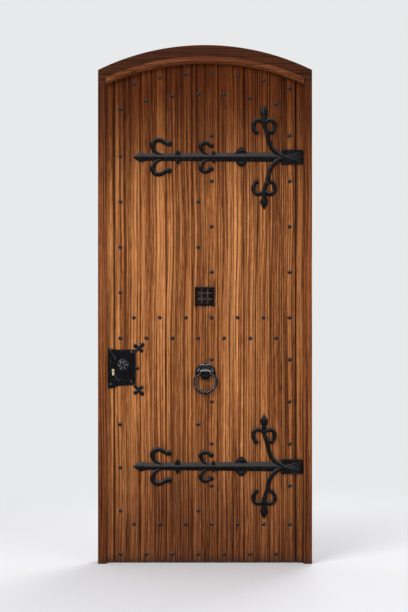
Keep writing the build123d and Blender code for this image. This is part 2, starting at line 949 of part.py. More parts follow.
with BuildPart() as upper_muntin:
    extrude(
        arched_panel(board_back, -muntin_half, muntin_half, middle_rail_top, top_rail_crown),
        amount=-backing_thickness,
    )
    tenon((-tenon_half, tenon_half), (middle_rail_top - muntin_tenon_length, middle_rail_top))
    tenon(
        (-tenon_half, tenon_half),
        (top_rail_crown - tenon_shoulder, top_rail_crown + muntin_tenon_length),
    )
    cut_middle_holes()
upper_muntin.part.label = "upper_muntin"
export_step(upper_muntin.part, "parts/upper_muntin.step")

with BuildPart() as lower_muntin:
    span_box(
        (-muntin_half, muntin_half),
        (board_back, leaf_back),
        (bottom_rail_top, middle_rail_bottom),
    )
    tenon((-tenon_half, tenon_half), (bottom_rail_top - muntin_tenon_length, bottom_rail_top))
    tenon((-tenon_half, tenon_half), (middle_rail_bottom, middle_rail_bottom + muntin_tenon_length))
    cut_middle_holes()
lower_muntin.part.label = "lower_muntin"
export_step(lower_muntin.part, "parts/lower_muntin.step")


# Straps: forged bars with scrolls and fleurs, drawn on their backs with Z out to the street

def ridged_bar(start, direction, stations):
    """Bar with a ridge, through stations of distance, half width, edge and ridge height."""
    along = Vector(*direction)
    across = Vector(0, 0, 1).cross(along)
    rings = []
    for distance, half, edge, ridge in stations:
        place = Vector(*start) + along * distance
        section = ((-half, 0), (half, 0), (half, edge), (0, ridge), (-half, edge))
        rings.append([tuple(place + across * side + Vector(0, 0, up)) for side, up in section])
    return faceted(rings)


def arc_samples(points, direction):
    """Places and headings along tangent arcs through the points, one for each bend_step."""
    with BuildLine(mode=Mode.PRIVATE) as path:
        bend = TangentArc(points[0], points[1], tangent=direction)
        for target in points[2:]:
            bend = TangentArc(bend @ 1, target, tangent=bend % 1)
    samples = []
    for arc in path.line.edges():
        turned = arc.length / arc.radius
        steps = max(1, round(turned / radians(bend_step)))
        samples += [(arc @ (step / steps), arc % (step / steps)) for step in range(steps)]
    return samples + [(arc @ 1, arc % 1)]


def scroll(points, direction, knob=True):
    """Forged bar bent through tangent arcs, hammered round on top, with a knob at its end."""
    half = scroll_width / 2
    section = [(-half, 0), (half, 0), (0.8 * half, 0.62), (0, 1), (-0.8 * half, 0.62)]
    rings = []
    for place, heading in arc_samples(points, direction):
        across = Vector(0, 0, 1).cross(heading)
        ring = [place + across * side + Vector(0, 0, scroll_rise * rise) for side, rise in section]
        rings.append([tuple(point) for point in ring])
    with BuildPart() as bar:
        add(faceted(rings))
        if knob:
            rim = [ring_points(scroll_knob, height, 6) for height in (0, 0.7 * scroll_rise)]
            with Locations(points[-1]):
                add(faceted(rim, tip=1.2 * scroll_rise))
    return bar.part


def collar(x, width, height):
    """Lozenge with its ends hammered round, behind the bar."""
    half = width / 2
    end = height / 2
    outline = [(half, 0.45 * end), (0.5 * half, 0.9 * end), (0, end)]
    corners = outline + [(-x, y) for x, y in outline[1::-1]]
    corners += [(-x, -y) for x, y in corners]
    rings = []
    for share, rise in ((1, 0), (0.8, 1)):
        rings.append([(share * x, share * y, rise * collar_thickness) for x, y in corners])
    return Pos(x, 0, 0) * faceted(rings)


def make_strap():
    """Strap with its spear, scrolls, collars, boss, fleurs and end block."""
    block_left = -block_length
    bar_run = strap_length - block_length + strap_base
    with BuildPart() as strap:
        add(scroll(large_scroll, (-1, 0.1)))
        add(scroll(small_scroll, (-1, 0.1)))
        add(scroll(fleur_branch, (-1, 0.35), knob=False))
        add(scroll(fleur_petal, (-0.26, 0.97)))
        mirrored_petal = [(2 * fleur_x - x, y) for x, y in fleur_petal]
        add(scroll(mirrored_petal, (0.26, 0.97)))
        add(
            ridged_bar(
                (fleur_x, fleur_leaf_foot, 0),
                (0, 1, 0),
                [(0, 8.5, 6, 10.8), (31, 16.5, 6, 12.5), (50, 11, 5, 9), (69, 1.2, 3, 4)],
            )
        )
        mirror(about=Plane.XZ)
        add(
            ridged_bar(
                (-strap_length, 0, 0),
                (1, 0, 0),
                [
                    (0, 1.5, 3, 4),
                    (0.3 * spear_length, 18, 5, 9),
                    (0.63 * spear_length, 25, 6, strap_ridge),
                    (spear_length, bar_left_height / 2, strap_base, strap_ridge),
                    (bar_run, bar_right_height / 2, strap_base, strap_ridge),
                ],
            )
        )
        add(collar(*large_collar))
        add(collar(*small_collar))
        boss = []
        for share, height in ((1, 0), (0.9, 0.8 * strap_base)):
            rim = ring_points(share, height, boss_sides, lobe=0.18, lobes=4)
            boss.append([(x * boss_width / 2, y * boss_height / 2, z) for x, y, z in rim])
        with Locations((boss_x, 0)):
            add(faceted(boss))
        with BuildSketch():
            with BuildLine():
                Polyline(
                    (block_left - block_flare_out, block_height / 2 + block_flare),
                    (block_left + block_flare_run, block_height / 2),
                    (0, block_height / 2),
                    (0, -block_height / 2),
                    (block_left + block_flare_run, -block_height / 2),
                    (block_left - block_flare_out, -block_height / 2 - block_flare),
                    close=True,
                )
            make_face()
        extrude(amount=block_thickness)
        span_box(
            (-stem_margin, 0),
            (-block_height, block_height),
            (block_thickness - 2, block_thickness),
            mode=Mode.SUBTRACT,
        )
        for stem in (-1.5, -0.5, 0.5, 1.5):
            run = Vector(block_length - stem_margin, stem * stem_spread, 0)
            add(
                ridged_bar(
                    (block_left, 0, block_thickness - 1),
                    tuple(run.normalized()),
                    [(0, 3.2, 1.1, 3.4), (run.length, 1.6, 1.1, 2.2)],
                )
            )
    return strap.part


strap_piece = make_strap()
save(street_plane(strap_end, upper_strap_z) * strap_piece, "upper_strap")
save(street_plane(strap_end, lower_strap_z) * strap_piece, "lower_strap")


# Lock: plate with sprigs outside, case, bolt and cylinder in the stile, plate inside

def bolt_way():
    """Cut the bolt's way out through the case and the faceplate."""
    half_y = bolt_thickness / 2 + bolt_play
    half_z = bolt_height / 2 + bolt_play
    span_box(
        (lock_edge, lock_edge + faceplate_thickness + case_wall),
        (backing_middle - half_y, backing_middle + half_y),
        (bolt_z - half_z, bolt_z + half_z),
        mode=Mode.SUBTRACT,
    )


def cut_spindle_hole(plane, depth):
    """Square hole from a plane outwards."""
    side = spindle_side + 2 * spindle_play
    with BuildSketch(plane) as hole:
        Rectangle(side, side)
    extrude(hole.sketch, amount=depth, mode=Mode.SUBTRACT)


def sprig_piece(root, heading, length, width):
    """Ridged leaf of a sprig, from its root outwards."""
    along = (cos(radians(heading)), sin(radians(heading)), 0)
    half = width / 2
    return ridged_bar(
        (root[0], root[1], 0),
        along,
        [
            (0, 0.6 * half, 2.5, 4),
            (0.5 * length, half, 3, plate_thickness + 1),
            (length, 0.15 * half, 2, 2.5),
        ],
    )


with BuildPart() as lock_plate_blank:
    with BuildSketch():
        with BuildLine():
            middle = (plate_left + plate_right) / 2
            top_right = (plate_right, plate_top - plate_corner_drop)
            foot_right = (plate_right, plate_bottom + plate_foot_rise)
            ThreePointArc((plate_left, plate_top), (middle, plate_top - plate_waist), top_right)
            Line(top_right, foot_right)
            ThreePointArc(
                foot_right,
                (middle, plate_bottom + (plate_foot_rise + plate_waist) / 2),
                (plate_left, plate_bottom),
            )
            Line((plate_left, plate_bottom), (plate_left, plate_top))
        make_face()
    extrude(amount=plate_thickness)
    for corner, up in ((top_right, 1), (foot_right, -1)):
        root = (corner[0] - sprig_overlap, corner[1] - up * sprig_overlap)
        add(sprig_piece(root, up * sprig_turn, 1.1 * sprig_leaf, sprig_width))
        root = (corner[0] + sprig_side_step[0], corner[1] + up * sprig_side_step[1])
        for spread in (-sprig_spread, sprig_spread):
            add(sprig_piece(root, up * sprig_turn + spread, sprig_leaf, sprig_width))
    side_root = (plate_right - sprig_overlap, (plate_top + plate_bottom) / 2)
    add(sprig_piece(side_root, 0, 0.8 * sprig_leaf, 0.8 * sprig_width))
    for left, right in (
        (plate_left, plate_left + plate_fold_left),
        (plate_right - plate_fold_right, plate_right),
    ):
        span_box(
            (left, right),
            (plate_bottom + plate_fold_end, plate_top - plate_fold_end),
            (plate_thickness - plate_fold_depth, plate_thickness),
            mode=Mode.SUBTRACT,
        )
    rivet_places = [(x, plate_top - drop) for x, drop in plate_rivets_above]
    rivet_places += [(x, plate_bottom + rise) for x, rise in plate_rivets_below]
    for x, z in rivet_places:
        rivet = [
            ring_points(plate_rivet / 2, -1.5 * plate_fold_depth, 6),
            ring_points(plate_rivet / 2, 0.1 * plate_rivet, 6),
        ]
        with Locations((plate_left + x, z, plate_thickness)):
            add(faceted(rivet, tip=0.3 * plate_rivet))
    for start, end in plate_ribs:
        run = Vector(end[0] - start[0], end[1] - start[1], 0)
        root = (plate_left + start[0], plate_bottom + start[1], plate_thickness - 1)
        add(
            ridged_bar(
                root,
                tuple(run.normalized()),
                [(0, 1.5, 1.1, 1.6), (0.3 * run.length, 3, 1.1, 2.4), (run.length, 1.5, 1.1, 1.6)],
            )
        )

with BuildPart() as lock_plate_cut:
    add(street_plane(0, 0) * lock_plate_blank.part)
    hole = euro_profile(street_plane(plug_x, plug_z), cylinder_play)
    extrude(hole, amount=plate_thickness, mode=Mode.SUBTRACT)
    cut_spindle_hole(street_plane(knob_x, knob_z), plate_thickness)
save(lock_plate_cut.part, "lock_plate")

with BuildPart() as lock_faceplate:
    span_box(
        (lock_edge, lock_edge + faceplate_thickness),
        (backing_middle - faceplate_width / 2, backing_middle + faceplate_width / 2),
        (faceplate_bottom, faceplate_bottom + faceplate_height),
    )
    bolt_way()
lock_faceplate.part.label = "lock_faceplate"
export_step(lock_faceplate.part, "parts/lock_faceplate.step")

with BuildPart() as lock_case:
    half = case_thickness / 2
    left = lock_edge + faceplate_thickness
    right = lock_edge + case_width
    top = case_bottom + case_height
    span_box((left, right), (backing_middle - half, backing_middle + half), (case_bottom, top))
    span_box(
        (left + case_wall, right - case_wall),
        (backing_middle - half + case_wall, backing_middle + half - case_wall),
        (case_bottom + case_wall, top - case_wall),
        mode=Mode.SUBTRACT,
    )
    bolt_way()
    punch(plug_x, cylinder_middle_z, *cylinder_mortise, leaf_back - leaf_front)
lock_case.part.label = "lock_case"
export_step(lock_case.part, "parts/lock_case.step")

with BuildPart() as deadbolt:
    head_back = lock_edge + bolt_set_back + bolt_head_length
    span_box(
        (lock_edge + bolt_set_back, head_back),
        (backing_middle - bolt_thickness / 2, backing_middle + bolt_thickness / 2),
        (bolt_z - bolt_height / 2, bolt_z + bolt_height / 2),
    )
    span_box(
        (head_back, head_back + bolt_tail_length),
        (backing_middle - bolt_thickness / 4, backing_middle + bolt_thickness / 4),
        (bolt_z - bolt_height / 2 - bolt_tail_drop, bolt_z),
    )
deadbolt.part.label = "deadbolt"
export_step(deadbolt.part, "parts/deadbolt.step")

cam_front = backing_middle - cam_slot / 2 + cam_play
cam_back = backing_middle + cam_slot / 2 - cam_play

with BuildPart() as cylinder_body:
    profile = euro_profile(street_plane(plug_x, plug_z, cylinder_front), 0)
    extrude(profile, amount=cylinder_front - cylinder_back)
    with BuildSketch(street_plane(plug_x, plug_z, cylinder_front)) as bore:
        Circle(plug_radius + plug_play)
    extrude(bore.sketch, amount=cylinder_front - cylinder_back, mode=Mode.SUBTRACT)
    span_box(
        (plug_x - cylinder_radius, plug_x + cylinder_radius),
        (backing_middle - cam_slot / 2, backing_middle + cam_slot / 2),
        (plug_z + cylinder_radius - cylinder_height + cam_bridge, plug_z + cylinder_radius),
        mode=Mode.SUBTRACT,
    )
cylinder_body.part.label = "cylinder_body"
export_step(cylinder_body.part, "parts/cylinder_body.step")

with BuildPart() as cylinder_plug:
    with BuildSketch(street_plane(plug_x, plug_z, cylinder_front)) as plug_end:
        Circle(plug_radius)
    extrude(plug_end.sketch, amount=cylinder_front - cam_front)
    with BuildSketch(street_plane(plug_x, plug_z, cylinder_front)) as keyhole:
        Rectangle(keyhole_width, keyhole_height)
    extrude(keyhole.sketch, amount=-keyhole_depth, mode=Mode.SUBTRACT)
cylinder_plug.part.label = "cylinder_plug"
export_step(cylinder_plug.part, "parts/cylinder_plug.step")

with BuildPart() as cylinder_cam:
    with BuildSketch(street_plane(plug_x, plug_z, cam_front)) as cam_side:
        Circle(plug_radius + 1)
        with Locations((0, -cam_radius / 2)):
            Rectangle(cam_nose, cam_radius)
    extrude(cam_side.sketch, amount=cam_front - cam_back)
cylinder_cam.part.label = "cylinder_cam"
export_step(cylinder_cam.part, "parts/cylinder_cam.step")

with BuildPart() as thumb_turn:
    with BuildSketch(street_plane(plug_x, plug_z, cam_back)) as inner_plug:
        Circle(plug_radius)
    extrude(inner_plug.sketch, amount=cam_back - cylinder_back)
    grip = []
    for share, height in ((0.7, 0), (1, 0.35), (0.8, 1)):
        rim = ring_points(share / 2, height * thumb_length, 12)
        grip.append([(x * thumb_height, y * thumb_width, z) for x, y, z in rim])
    with Locations(inside_plane(plug_x, plug_z, cylinder_back)):
        add(faceted(grip))
thumb_turn.part.label = "thumb_turn"
export_step(thumb_turn.part, "parts/thumb_turn.step")

with BuildPart() as inside_escutcheon:
    with BuildSketch(inside_plane((plug_x + knob_x) / 2, plug_z + 10)) as plate:
        Rectangle(escutcheon_width, escutcheon_height)
        chamfer(plate.vertices(), length=escutcheon_thickness * 3)
    extrude(plate.sketch, amount=escutcheon_thickness)
    hole = euro_profile(street_plane(plug_x, plug_z, leaf_back), cylinder_play)
    extrude(hole, amount=-escutcheon_thickness, mode=Mode.SUBTRACT)
    cut_spindle_hole(inside_plane(knob_x, knob_z), escutcheon_thickness)
inside_escutcheon.part.label = "inside_escutcheon"
export_step(inside_escutcheon.part, "parts/inside_escutcheon.step")


# Pull knobs on a square spindle through the stile

def make_knob():
    """Cast knob on its rose, with a head of twisted lobes, looking out along Z."""
    neck_end = knob_rose_thickness + knob_neck_length
    rings = [
        ring_points(knob_rose_radius, 0, knob_sides),
        ring_points(0.9 * knob_rose_radius, knob_rose_thickness, knob_sides),
        ring_points(knob_neck_radius, 1.6 * knob_rose_thickness, knob_sides),
        ring_points(knob_neck_radius, neck_end, knob_sides),
    ]
    for share, radius, lobe, twist in (
        (0.0, 0.62, 0.05, 0),
        (0.25, 1.0, 0.16, 12),
        (0.6, 0.94, 0.2, 36),
        (0.88, 0.6, 0.2, 60),
        (1.0, 0.22, 0.1, 72),
    ):
        height = neck_end + share * knob_head_length
        turn = radians(twist)
        rim = ring_points(radius * knob_radius, height, knob_sides, lobe, knob_lobes, turn)
        rings.append(rim)
    with BuildPart() as knob:
        add(faceted(rings))
        cut_spindle_hole(Plane.XY, spindle_grip + spindle_play)
    return knob.part


knob_piece = make_knob()
save(street_plane(knob_x, knob_z, leaf_front - plate_thickness) * knob_piece, "pull_knob_outside")
save(inside_plane(knob_x, knob_z, leaf_back + escutcheon_thickness) * knob_piece, "pull_knob_inside")

with BuildPart() as knob_spindle:
    span_box(
        (knob_x - spindle_side / 2, knob_x + spindle_side / 2),
        (
            leaf_front - plate_thickness - spindle_grip,
            leaf_back + escutcheon_thickness + spindle_grip,
        ),
        (knob_z - spindle_side / 2, knob_z + spindle_side / 2),
    )
knob_spindle.part.label = "knob_spindle"
export_step(knob_spindle.part, "parts/knob_spindle.step")


# Knocker: lion mask with a ring in its mouth, y up from the ring's pivot, Z out to the street

def mask_relief(x, y):
    """Height of the face over the boards: dome, muzzle, nose, whiskers, brows, eyes and mane."""
    edge = hypot(x / (mask_width / 2), (y - mask_middle) / (mask_height / 2))
    height = mask_plate + mask_dome * sqrt(max(0.0, 1 - edge**2))
    for middle_x, middle_y, spread_x, spread_y, rise in (
        (0, 17, 15, 10, 9),
        (0, 25, 6, 5, 6),
        (20, 13, 13, 4, 5),
        (13, 37, 9, 4, 5),
        (13, 29, 6, 3.5, -6),
        (13, 29, 3, 2.5, 4),
        (30, 27, 6, 8, 3),
    ):
        for side in (-1, 1) if middle_x else (1,):
            away_x = (x - side * middle_x) / spread_x
            away_y = (y - middle_y) / spread_y
            height += rise * exp(-(away_x**2) - away_y**2)
    around = atan2(y - mask_middle, x)
    return height + 1.5 * cos(15 * around) * exp(-(((edge - 0.85) / 0.12) ** 2))


with BuildPart() as mask_face:
    rows = []
    top = mask_middle + mask_inset * mask_height / 2
    for row in range(mask_rows + 1):
        share = 1 - (1 - row / mask_rows) ** 1.3
        y = mouth_top + share * (top - 0.4 - mouth_top)
        reach = (y - mask_middle) / (mask_inset * mask_height / 2)
        half = mask_inset * mask_width / 2 * sqrt(1 - reach**2)
        points = [(-half, y, 0.0)]
        for column in range(mask_columns + 1):
            x = half * sin(pi / 2 * (2 * column / mask_columns - 1))
            points.append((x, y, mask_relief(x, y)))
        rows.append(points + [(half, y, 0.0)])
    add(faceted(rows))

with BuildPart() as mask_blank:
    plate = []
    for share, height in ((1, 0), (1, 0.7 * mask_plate), (0.96, mask_plate)):
        rim = ring_points(share, height, 2 * mask_columns)
        plate.append(
            [(x * mask_width / 2, mask_middle + y * mask_height / 2, z) for x, y, z in rim]
        )
    add(faceted(plate))
    add(mask_face.part)
    span_box(
        (-lug_half, lug_half), (-lug_height, mouth_top + 2), (0, pivot_stand + lug_height)
    )
    span_box((-jaw_half, jaw_half), (jaw_bottom, jaw_top), (0, jaw_front))
    with BuildSketch(Plane.YZ.offset(-lug_half)) as bore:
        with Locations((0, pivot_stand)):
            Circle(ring_bar_radius + ring_bar_play)
    extrude(bore.sketch, amount=2 * lug_half, mode=Mode.SUBTRACT)
save(street_plane(knocker_x, pivot_z) * mask_blank.part, "knocker_mask")


def ring_section(angle, twist):
    """Square section of the ring's twisted bar, at an angle from its top."""
    outwards = Vector(sin(angle), cos(angle), 0)
    middle = Vector(0, -ring_centre_drop, pivot_stand) + outwards * ring_radius
    reach = ring_stock / sqrt(2)
    corners = []
    for corner in range(4):
        round_bar = twist + corner * pi / 2
        side = outwards * (reach * cos(round_bar))
        corners.append(tuple(middle + side + Vector(0, 0, reach * sin(round_bar))))
    return corners


with BuildPart() as knocker_ring_blank:
    sections = []
    for step in range(ring_steps + 1):
        share = step / ring_steps
        angle = radians(ring_gap_angle + share * (360 - 2 * ring_gap_angle))
        sections.append(ring_section(angle, radians(step * ring_step_twist)))
    add(faceted(sections))
    end_x = ring_radius * sin(radians(ring_gap_angle))
    with BuildSketch(Plane.YZ.offset(-end_x)) as bar:
        with Locations((0, pivot_stand)):
            Circle(ring_bar_radius)
    extrude(bar.sketch, amount=2 * end_x)
    for side in (-1, 1):
        end = [
            ring_points(0.6 * ring_end_radius, -0.8 * ring_end_radius, 8),
            ring_points(ring_end_radius, 0, 8),
            ring_points(0.6 * ring_end_radius, 0.8 * ring_end_radius, 8),
        ]
        with Locations((side * end_x, 0, pivot_stand)):
            add(faceted(end))
    bottom = -ring_centre_drop - ring_radius
    bead = [
        ring_points(0.75 * ring_bead_radius, -0.5 * ring_bead_radius, 12),
        ring_points(ring_bead_radius, 0, 12),
        ring_points(0.75 * ring_bead_radius, 0.5 * ring_bead_radius, 12),
    ]
    with Locations(Location((0, bottom, pivot_stand), (0, 90, 0))):
        add(faceted(bead))
    point = [ring_points(0.5 * ring_bead_radius, 0, 8)]
    with Locations(Location((0, bottom - 0.8 * ring_bead_radius, pivot_stand), (90, 0, 0))):
        add(faceted(point, tip=0.7 * ring_bead_radius))
save(street_plane(knocker_x, pivot_z) * knocker_ring_blank.part, "knocker_ring")

with BuildPart() as knocker_stud:
    with BuildSketch(street_plane(knocker_x, stud_z)) as shank:
        Rectangle(nail_shank, nail_shank)
    extrude(shank.sketch, amount=-nail_length)
    rise = pivot_stand - ring_bead_radius - stud_play
    with Locations(street_plane(knocker_x, stud_z)):
        add(
            faceted(
                [
                    ring_points(stud_radius, 0, 12),
                    ring_points(stud_radius, 0.5 * rise, 12),
                    ring_points(0.7 * stud_radius, rise, 12),
                ]
            )
        )
knocker_stud.part.label = "knocker_stud"
export_step(knocker_stud.part, "parts/knocker_stud.step")

with BuildPart() as knocker_bolts:
    for side in (-1, 1):
        x = knocker_x + side * knocker_bolt_spread
        z = pivot_z + knocker_bolt_z
        half = knocker_bolt_side / 2
        span_box((x - half, x + half), (leaf_front, leaf_back), (z - half, z + half))
        half = nut_side / 2
        span_box(
            (x - half, x + half), (leaf_back, leaf_back + nut_thickness), (z - half, z + half)
        )
knocker_bolts.part.label = "knocker_bolts"
export_step(knocker_bolts.part, "parts/knocker_bolts.step")


# Judas window: grille outside, flap with its frame and turn button inside

with BuildPart() as grille_blank:
    with BuildSketch():
        with BuildLine():
            left = -judas_width / 2 - grille_side_border
            top = judas_height / 2 + grille_top_border
            foot = -judas_height / 2 - grille_bottom_border
            Polyline(
                (left, foot),
                (left, top),
                (-left, top),
                (-left, foot),
                (-0.7 * left, foot + grille_wave),
                (-0.3 * left, foot + grille_wave),
                (0, foot + 0.3 * grille_wave),
                (0.3 * left, foot + grille_wave),
                (0.7 * left, foot + grille_wave),
                close=True,
            )
        make_face()
    extrude(amount=grille_thickness)
    front_edges = grille_blank.faces().sort_by(Axis.Z)[-1].edges()
    chamfer(front_edges, length=grille_bevel)
    with BuildSketch() as window:
        Rectangle(judas_width, judas_height)
    extrude(window.sketch, amount=grille_thickness, mode=Mode.SUBTRACT)
save(street_plane(judas_x, judas_z) * grille_blank.part, "judas_grille_frame")


def grille_bar(place, is_upright):
    """Bevelled bar across the window, halved where the woven grille takes it behind another."""
    half = grille_bar_width / 2
    near = grille_bar_spacing / 2
    middle = grille_thickness / 2
    reach = judas_height if is_upright else judas_width
    if is_upright:
        foot = Plane(origin=(place, -reach / 2, middle), x_dir=(1, 0, 0), z_dir=(0, 1, 0))
    else:
        foot = Plane(origin=(-reach / 2, place, middle), x_dir=(0, 1, 0), z_dir=(1, 0, 0))
    with BuildPart() as bar:
        with BuildSketch(foot) as section:
            Rectangle(grille_bar_width, grille_bar_width)
            chamfer(section.vertices(), length=grille_bar_bevel)
        extrude(amount=reach)
        for crossing in (-near, near):
            in_front = (place * crossing > 0) == is_upright
            x, y = (place, crossing) if is_upright else (crossing, place)
            depth = (middle - half, middle) if in_front else (middle, middle + half)
            span_box((x - half, x + half), (y - half, y + half), depth, mode=Mode.SUBTRACT)
    return bar.part


with BuildPart() as grille_bars_blank:
    for place in (-grille_bar_spacing / 2, grille_bar_spacing / 2):
        for is_upright in (True, False):
            add(grille_bar(place, is_upright))
save(street_plane(judas_x, judas_z) * grille_bars_blank.part, "judas_grille_bars")

with BuildPart() as judas_flap_frame:
    with BuildSketch(inside_plane(judas_x, judas_z)):
        border = 2 * (flap_gap + flap_frame_width)
        Rectangle(2 * flap_half + border, 2 * flap_top + border)
        Rectangle(2 * (flap_half + flap_gap), 2 * (flap_top + flap_gap), mode=Mode.SUBTRACT)
    extrude(amount=flap_back - leaf_back)
    cut_hinge_seats(flap_hinge, flap_gap, False, flap_swing_x, flap_swing_y, (judas_z,))
    with BuildSketch(inside_plane(button_x, judas_z, flap_back)) as screw_hole:
        RegularPolygon(button_screw_radius + spindle_play, 6)
    extrude(screw_hole.sketch, amount=-button_screw_depth - spindle_play, mode=Mode.SUBTRACT)
judas_flap_frame.part.label = "judas_flap_frame"
export_step(judas_flap_frame.part, "parts/judas_flap_frame.step")

with BuildPart() as judas_flap:
    with BuildSketch(inside_plane(judas_x, judas_z, leaf_back + flap_seat)):
        Rectangle(2 * flap_half, 2 * flap_top)
    extrude(amount=flap_thickness)
    cut_hinge_seats(flap_hinge, flap_gap, True, flap_swing_x, flap_swing_y, (judas_z,))
judas_flap.part.label = "judas_flap"
export_step(judas_flap.part, "parts/judas_flap.step")

for name, moving in (("flap_hinge_frame_plate", False), ("flap_hinge_flap_plate", True)):
    save(hinge_plate(flap_hinge, flap_gap, moving, flap_swing_x, flap_swing_y, judas_z), name)

flap_knob_rings = [
    ring_points(share * flap_knob_radius, height * flap_knob_length, 12)
    for share, height in ((0.8, 0), (0.5, 0.2), (1, 0.65), (0.9, 0.88), (0.4, 1))
]
with BuildPart() as flap_knob_blank:
    add(faceted(flap_knob_rings))
flap_knob_x = judas_x - flap_half + flap_knob_inset
save(inside_plane(flap_knob_x, judas_z, flap_back) * flap_knob_blank.part, "flap_knob")

with BuildPart() as turn_button:
    with BuildSketch(inside_plane(button_x, judas_z, flap_back + button_stand)) as button_outline:
        Rectangle(button_width, button_length)
        chamfer(button_outline.vertices(), length=0.3 * button_width)
        Circle(button_screw_radius + button_play, mode=Mode.SUBTRACT)
    extrude(amount=button_thickness)
turn_button.part.label = "turn_button"
export_step(turn_button.part, "parts/turn_button.step")

with BuildPart() as turn_button_screw:
    button_front = flap_back + button_stand + button_thickness + knuckle_gap
    with BuildSketch(inside_plane(button_x, judas_z, flap_back - button_screw_depth)):
        RegularPolygon(button_screw_radius, 6)
    extrude(amount=button_screw_depth)
    with BuildSketch(inside_plane(button_x, judas_z, flap_back)):
        RegularPolygon(2 * button_screw_radius, 10)
    extrude(amount=button_stand - button_play)
    with BuildSketch(inside_plane(button_x, judas_z, flap_back)):
        Circle(button_screw_radius)
    extrude(amount=button_front - flap_back)
    with BuildSketch(inside_plane(button_x, judas_z, button_front)):
        RegularPolygon(2 * button_screw_radius, 10)
    extrude(amount=button_screw_radius)
turn_button_screw.part.label = "turn_button_screw"
export_step(turn_button_screw.part, "parts/turn_button_screw.step")
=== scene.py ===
import bmesh
import bpy
import random
from math import atan2, ceil, cos, exp, hypot, pi, radians, sin, sqrt
from mathutils import Matrix, Vector


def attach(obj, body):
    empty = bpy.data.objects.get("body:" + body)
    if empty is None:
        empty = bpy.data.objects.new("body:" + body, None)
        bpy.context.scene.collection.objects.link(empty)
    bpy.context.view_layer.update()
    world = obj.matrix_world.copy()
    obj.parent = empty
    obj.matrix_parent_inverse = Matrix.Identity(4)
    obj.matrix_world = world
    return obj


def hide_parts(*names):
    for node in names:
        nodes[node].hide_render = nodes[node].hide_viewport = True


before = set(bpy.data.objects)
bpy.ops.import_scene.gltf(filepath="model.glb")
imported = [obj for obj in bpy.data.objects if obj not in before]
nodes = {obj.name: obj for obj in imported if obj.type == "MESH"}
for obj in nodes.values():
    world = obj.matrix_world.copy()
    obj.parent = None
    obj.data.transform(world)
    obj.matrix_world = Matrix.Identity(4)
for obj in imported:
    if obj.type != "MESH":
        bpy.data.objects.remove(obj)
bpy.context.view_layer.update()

# Where things are, in metres
LEAF_FACE = 0.0245
PLATE_FACE = LEAF_FACE - 0.004
STRAP_END = 0.476
STRAP_HEIGHTS = {"upper_strap": 1.980, "lower_strap": 0.471}
KNOCKER = (0.002, LEAF_FACE, 0.929)
KNOB = (-0.3997, PLATE_FACE, 0.966)
CYLINDER_X = -0.44774
CYLINDER_Z = 0.940
BOARD_PITCH = 0.1265
BOARDS_LEFT = -0.44275
QUARTER = pi / 2


# Shader nodes

def colour(red, green, blue):
    """Colour from screen values of 0 to 255."""
    shares = [value / 255 for value in (red, green, blue)]
    return [s / 12.92 if s <= 0.04045 else ((s + 0.055) / 1.055) ** 2.4 for s in shares] + [1.0]


def add_node(tree, kind, inputs=(), **settings):
    """Node with its settings, and its inputs set to values or linked to sockets."""
    made = tree.nodes.new(kind)
    for name, value in settings.items():
        setattr(made, name, value)
    for name, value in dict(inputs).items():
        if isinstance(value, bpy.types.NodeSocket):
            tree.links.new(value, made.inputs[name])
        else:
            made.inputs[name].default_value = value
    return made


def sums(tree, operation, *values):
    """Output of a Math node."""
    return add_node(tree, "ShaderNodeMath", enumerate(values), operation=operation).outputs[0]


def times(tree, first, second):
    """First value times the second."""
    return sums(tree, "MULTIPLY", first, second)


def plus(tree, first, second):
    """First value plus the second."""
    return sums(tree, "ADD", first, second)


def minus(tree, first, second):
    """First value minus the second."""
    return sums(tree, "SUBTRACT", first, second)


def vectors(tree, operation, *values):
    """Outputs of a Vector Math node."""
    return add_node(tree, "ShaderNodeVectorMath", enumerate(values), operation=operation).outputs


def blend(tree, share, first, second, blend_type="MIX"):
    """Colour between two colours."""
    inputs = {0: share, 6: first, 7: second}
    return add_node(tree, "ShaderNodeMix", inputs, data_type="RGBA", blend_type=blend_type).outputs[2]


def shaded(tree, share, tone, shade):
    """Colour multiplied by a shade, as far as a share says."""
    return blend(tree, share, tone, blend(tree, 1.0, tone, shade, "MULTIPLY"))


def fade(tree, value, start, end, low=0.0, high=1.0):
    """Value that runs from low to high while another runs from start to end."""
    inputs = {"Value": value, "From Min": start, "From Max": end, "To Min": low, "To Max": high}
    return add_node(tree, "ShaderNodeMapRange", inputs, interpolation_type="SMOOTHSTEP").outputs[0]


def noise(tree, vector, scale, stretch=(1, 1, 1), detail=2.0, roughness=0.5):
    """Noise on a stretched vector."""
    stretched = vectors(tree, "MULTIPLY", vector, stretch)[0]
    inputs = {"Vector": stretched, "Scale": scale, "Detail": detail, "Roughness": roughness}
    return add_node(tree, "ShaderNodeTexNoise", inputs).outputs["Fac"]


def new_group(name, inputs, outputs):
    """Shader node group, with its input and output sockets."""
    tree = bpy.data.node_groups.new(name, "ShaderNodeTree")
    for label, kind, default in inputs:
        socket = tree.interface.new_socket(label, in_out="INPUT", socket_type="NodeSocket" + kind)
        if default is not None:
            socket.default_value = default
    for label, kind in outputs:
        tree.interface.new_socket(label, in_out="OUTPUT", socket_type="NodeSocket" + kind)
    return tree, tree.nodes.new("NodeGroupInput").outputs, tree.nodes.new("NodeGroupOutput").inputs


def use_group(tree, group, **inputs):
    """Outputs of a group placed in a material with its own values."""
    return add_node(tree, "ShaderNodeGroup", inputs, node_tree=group).outputs


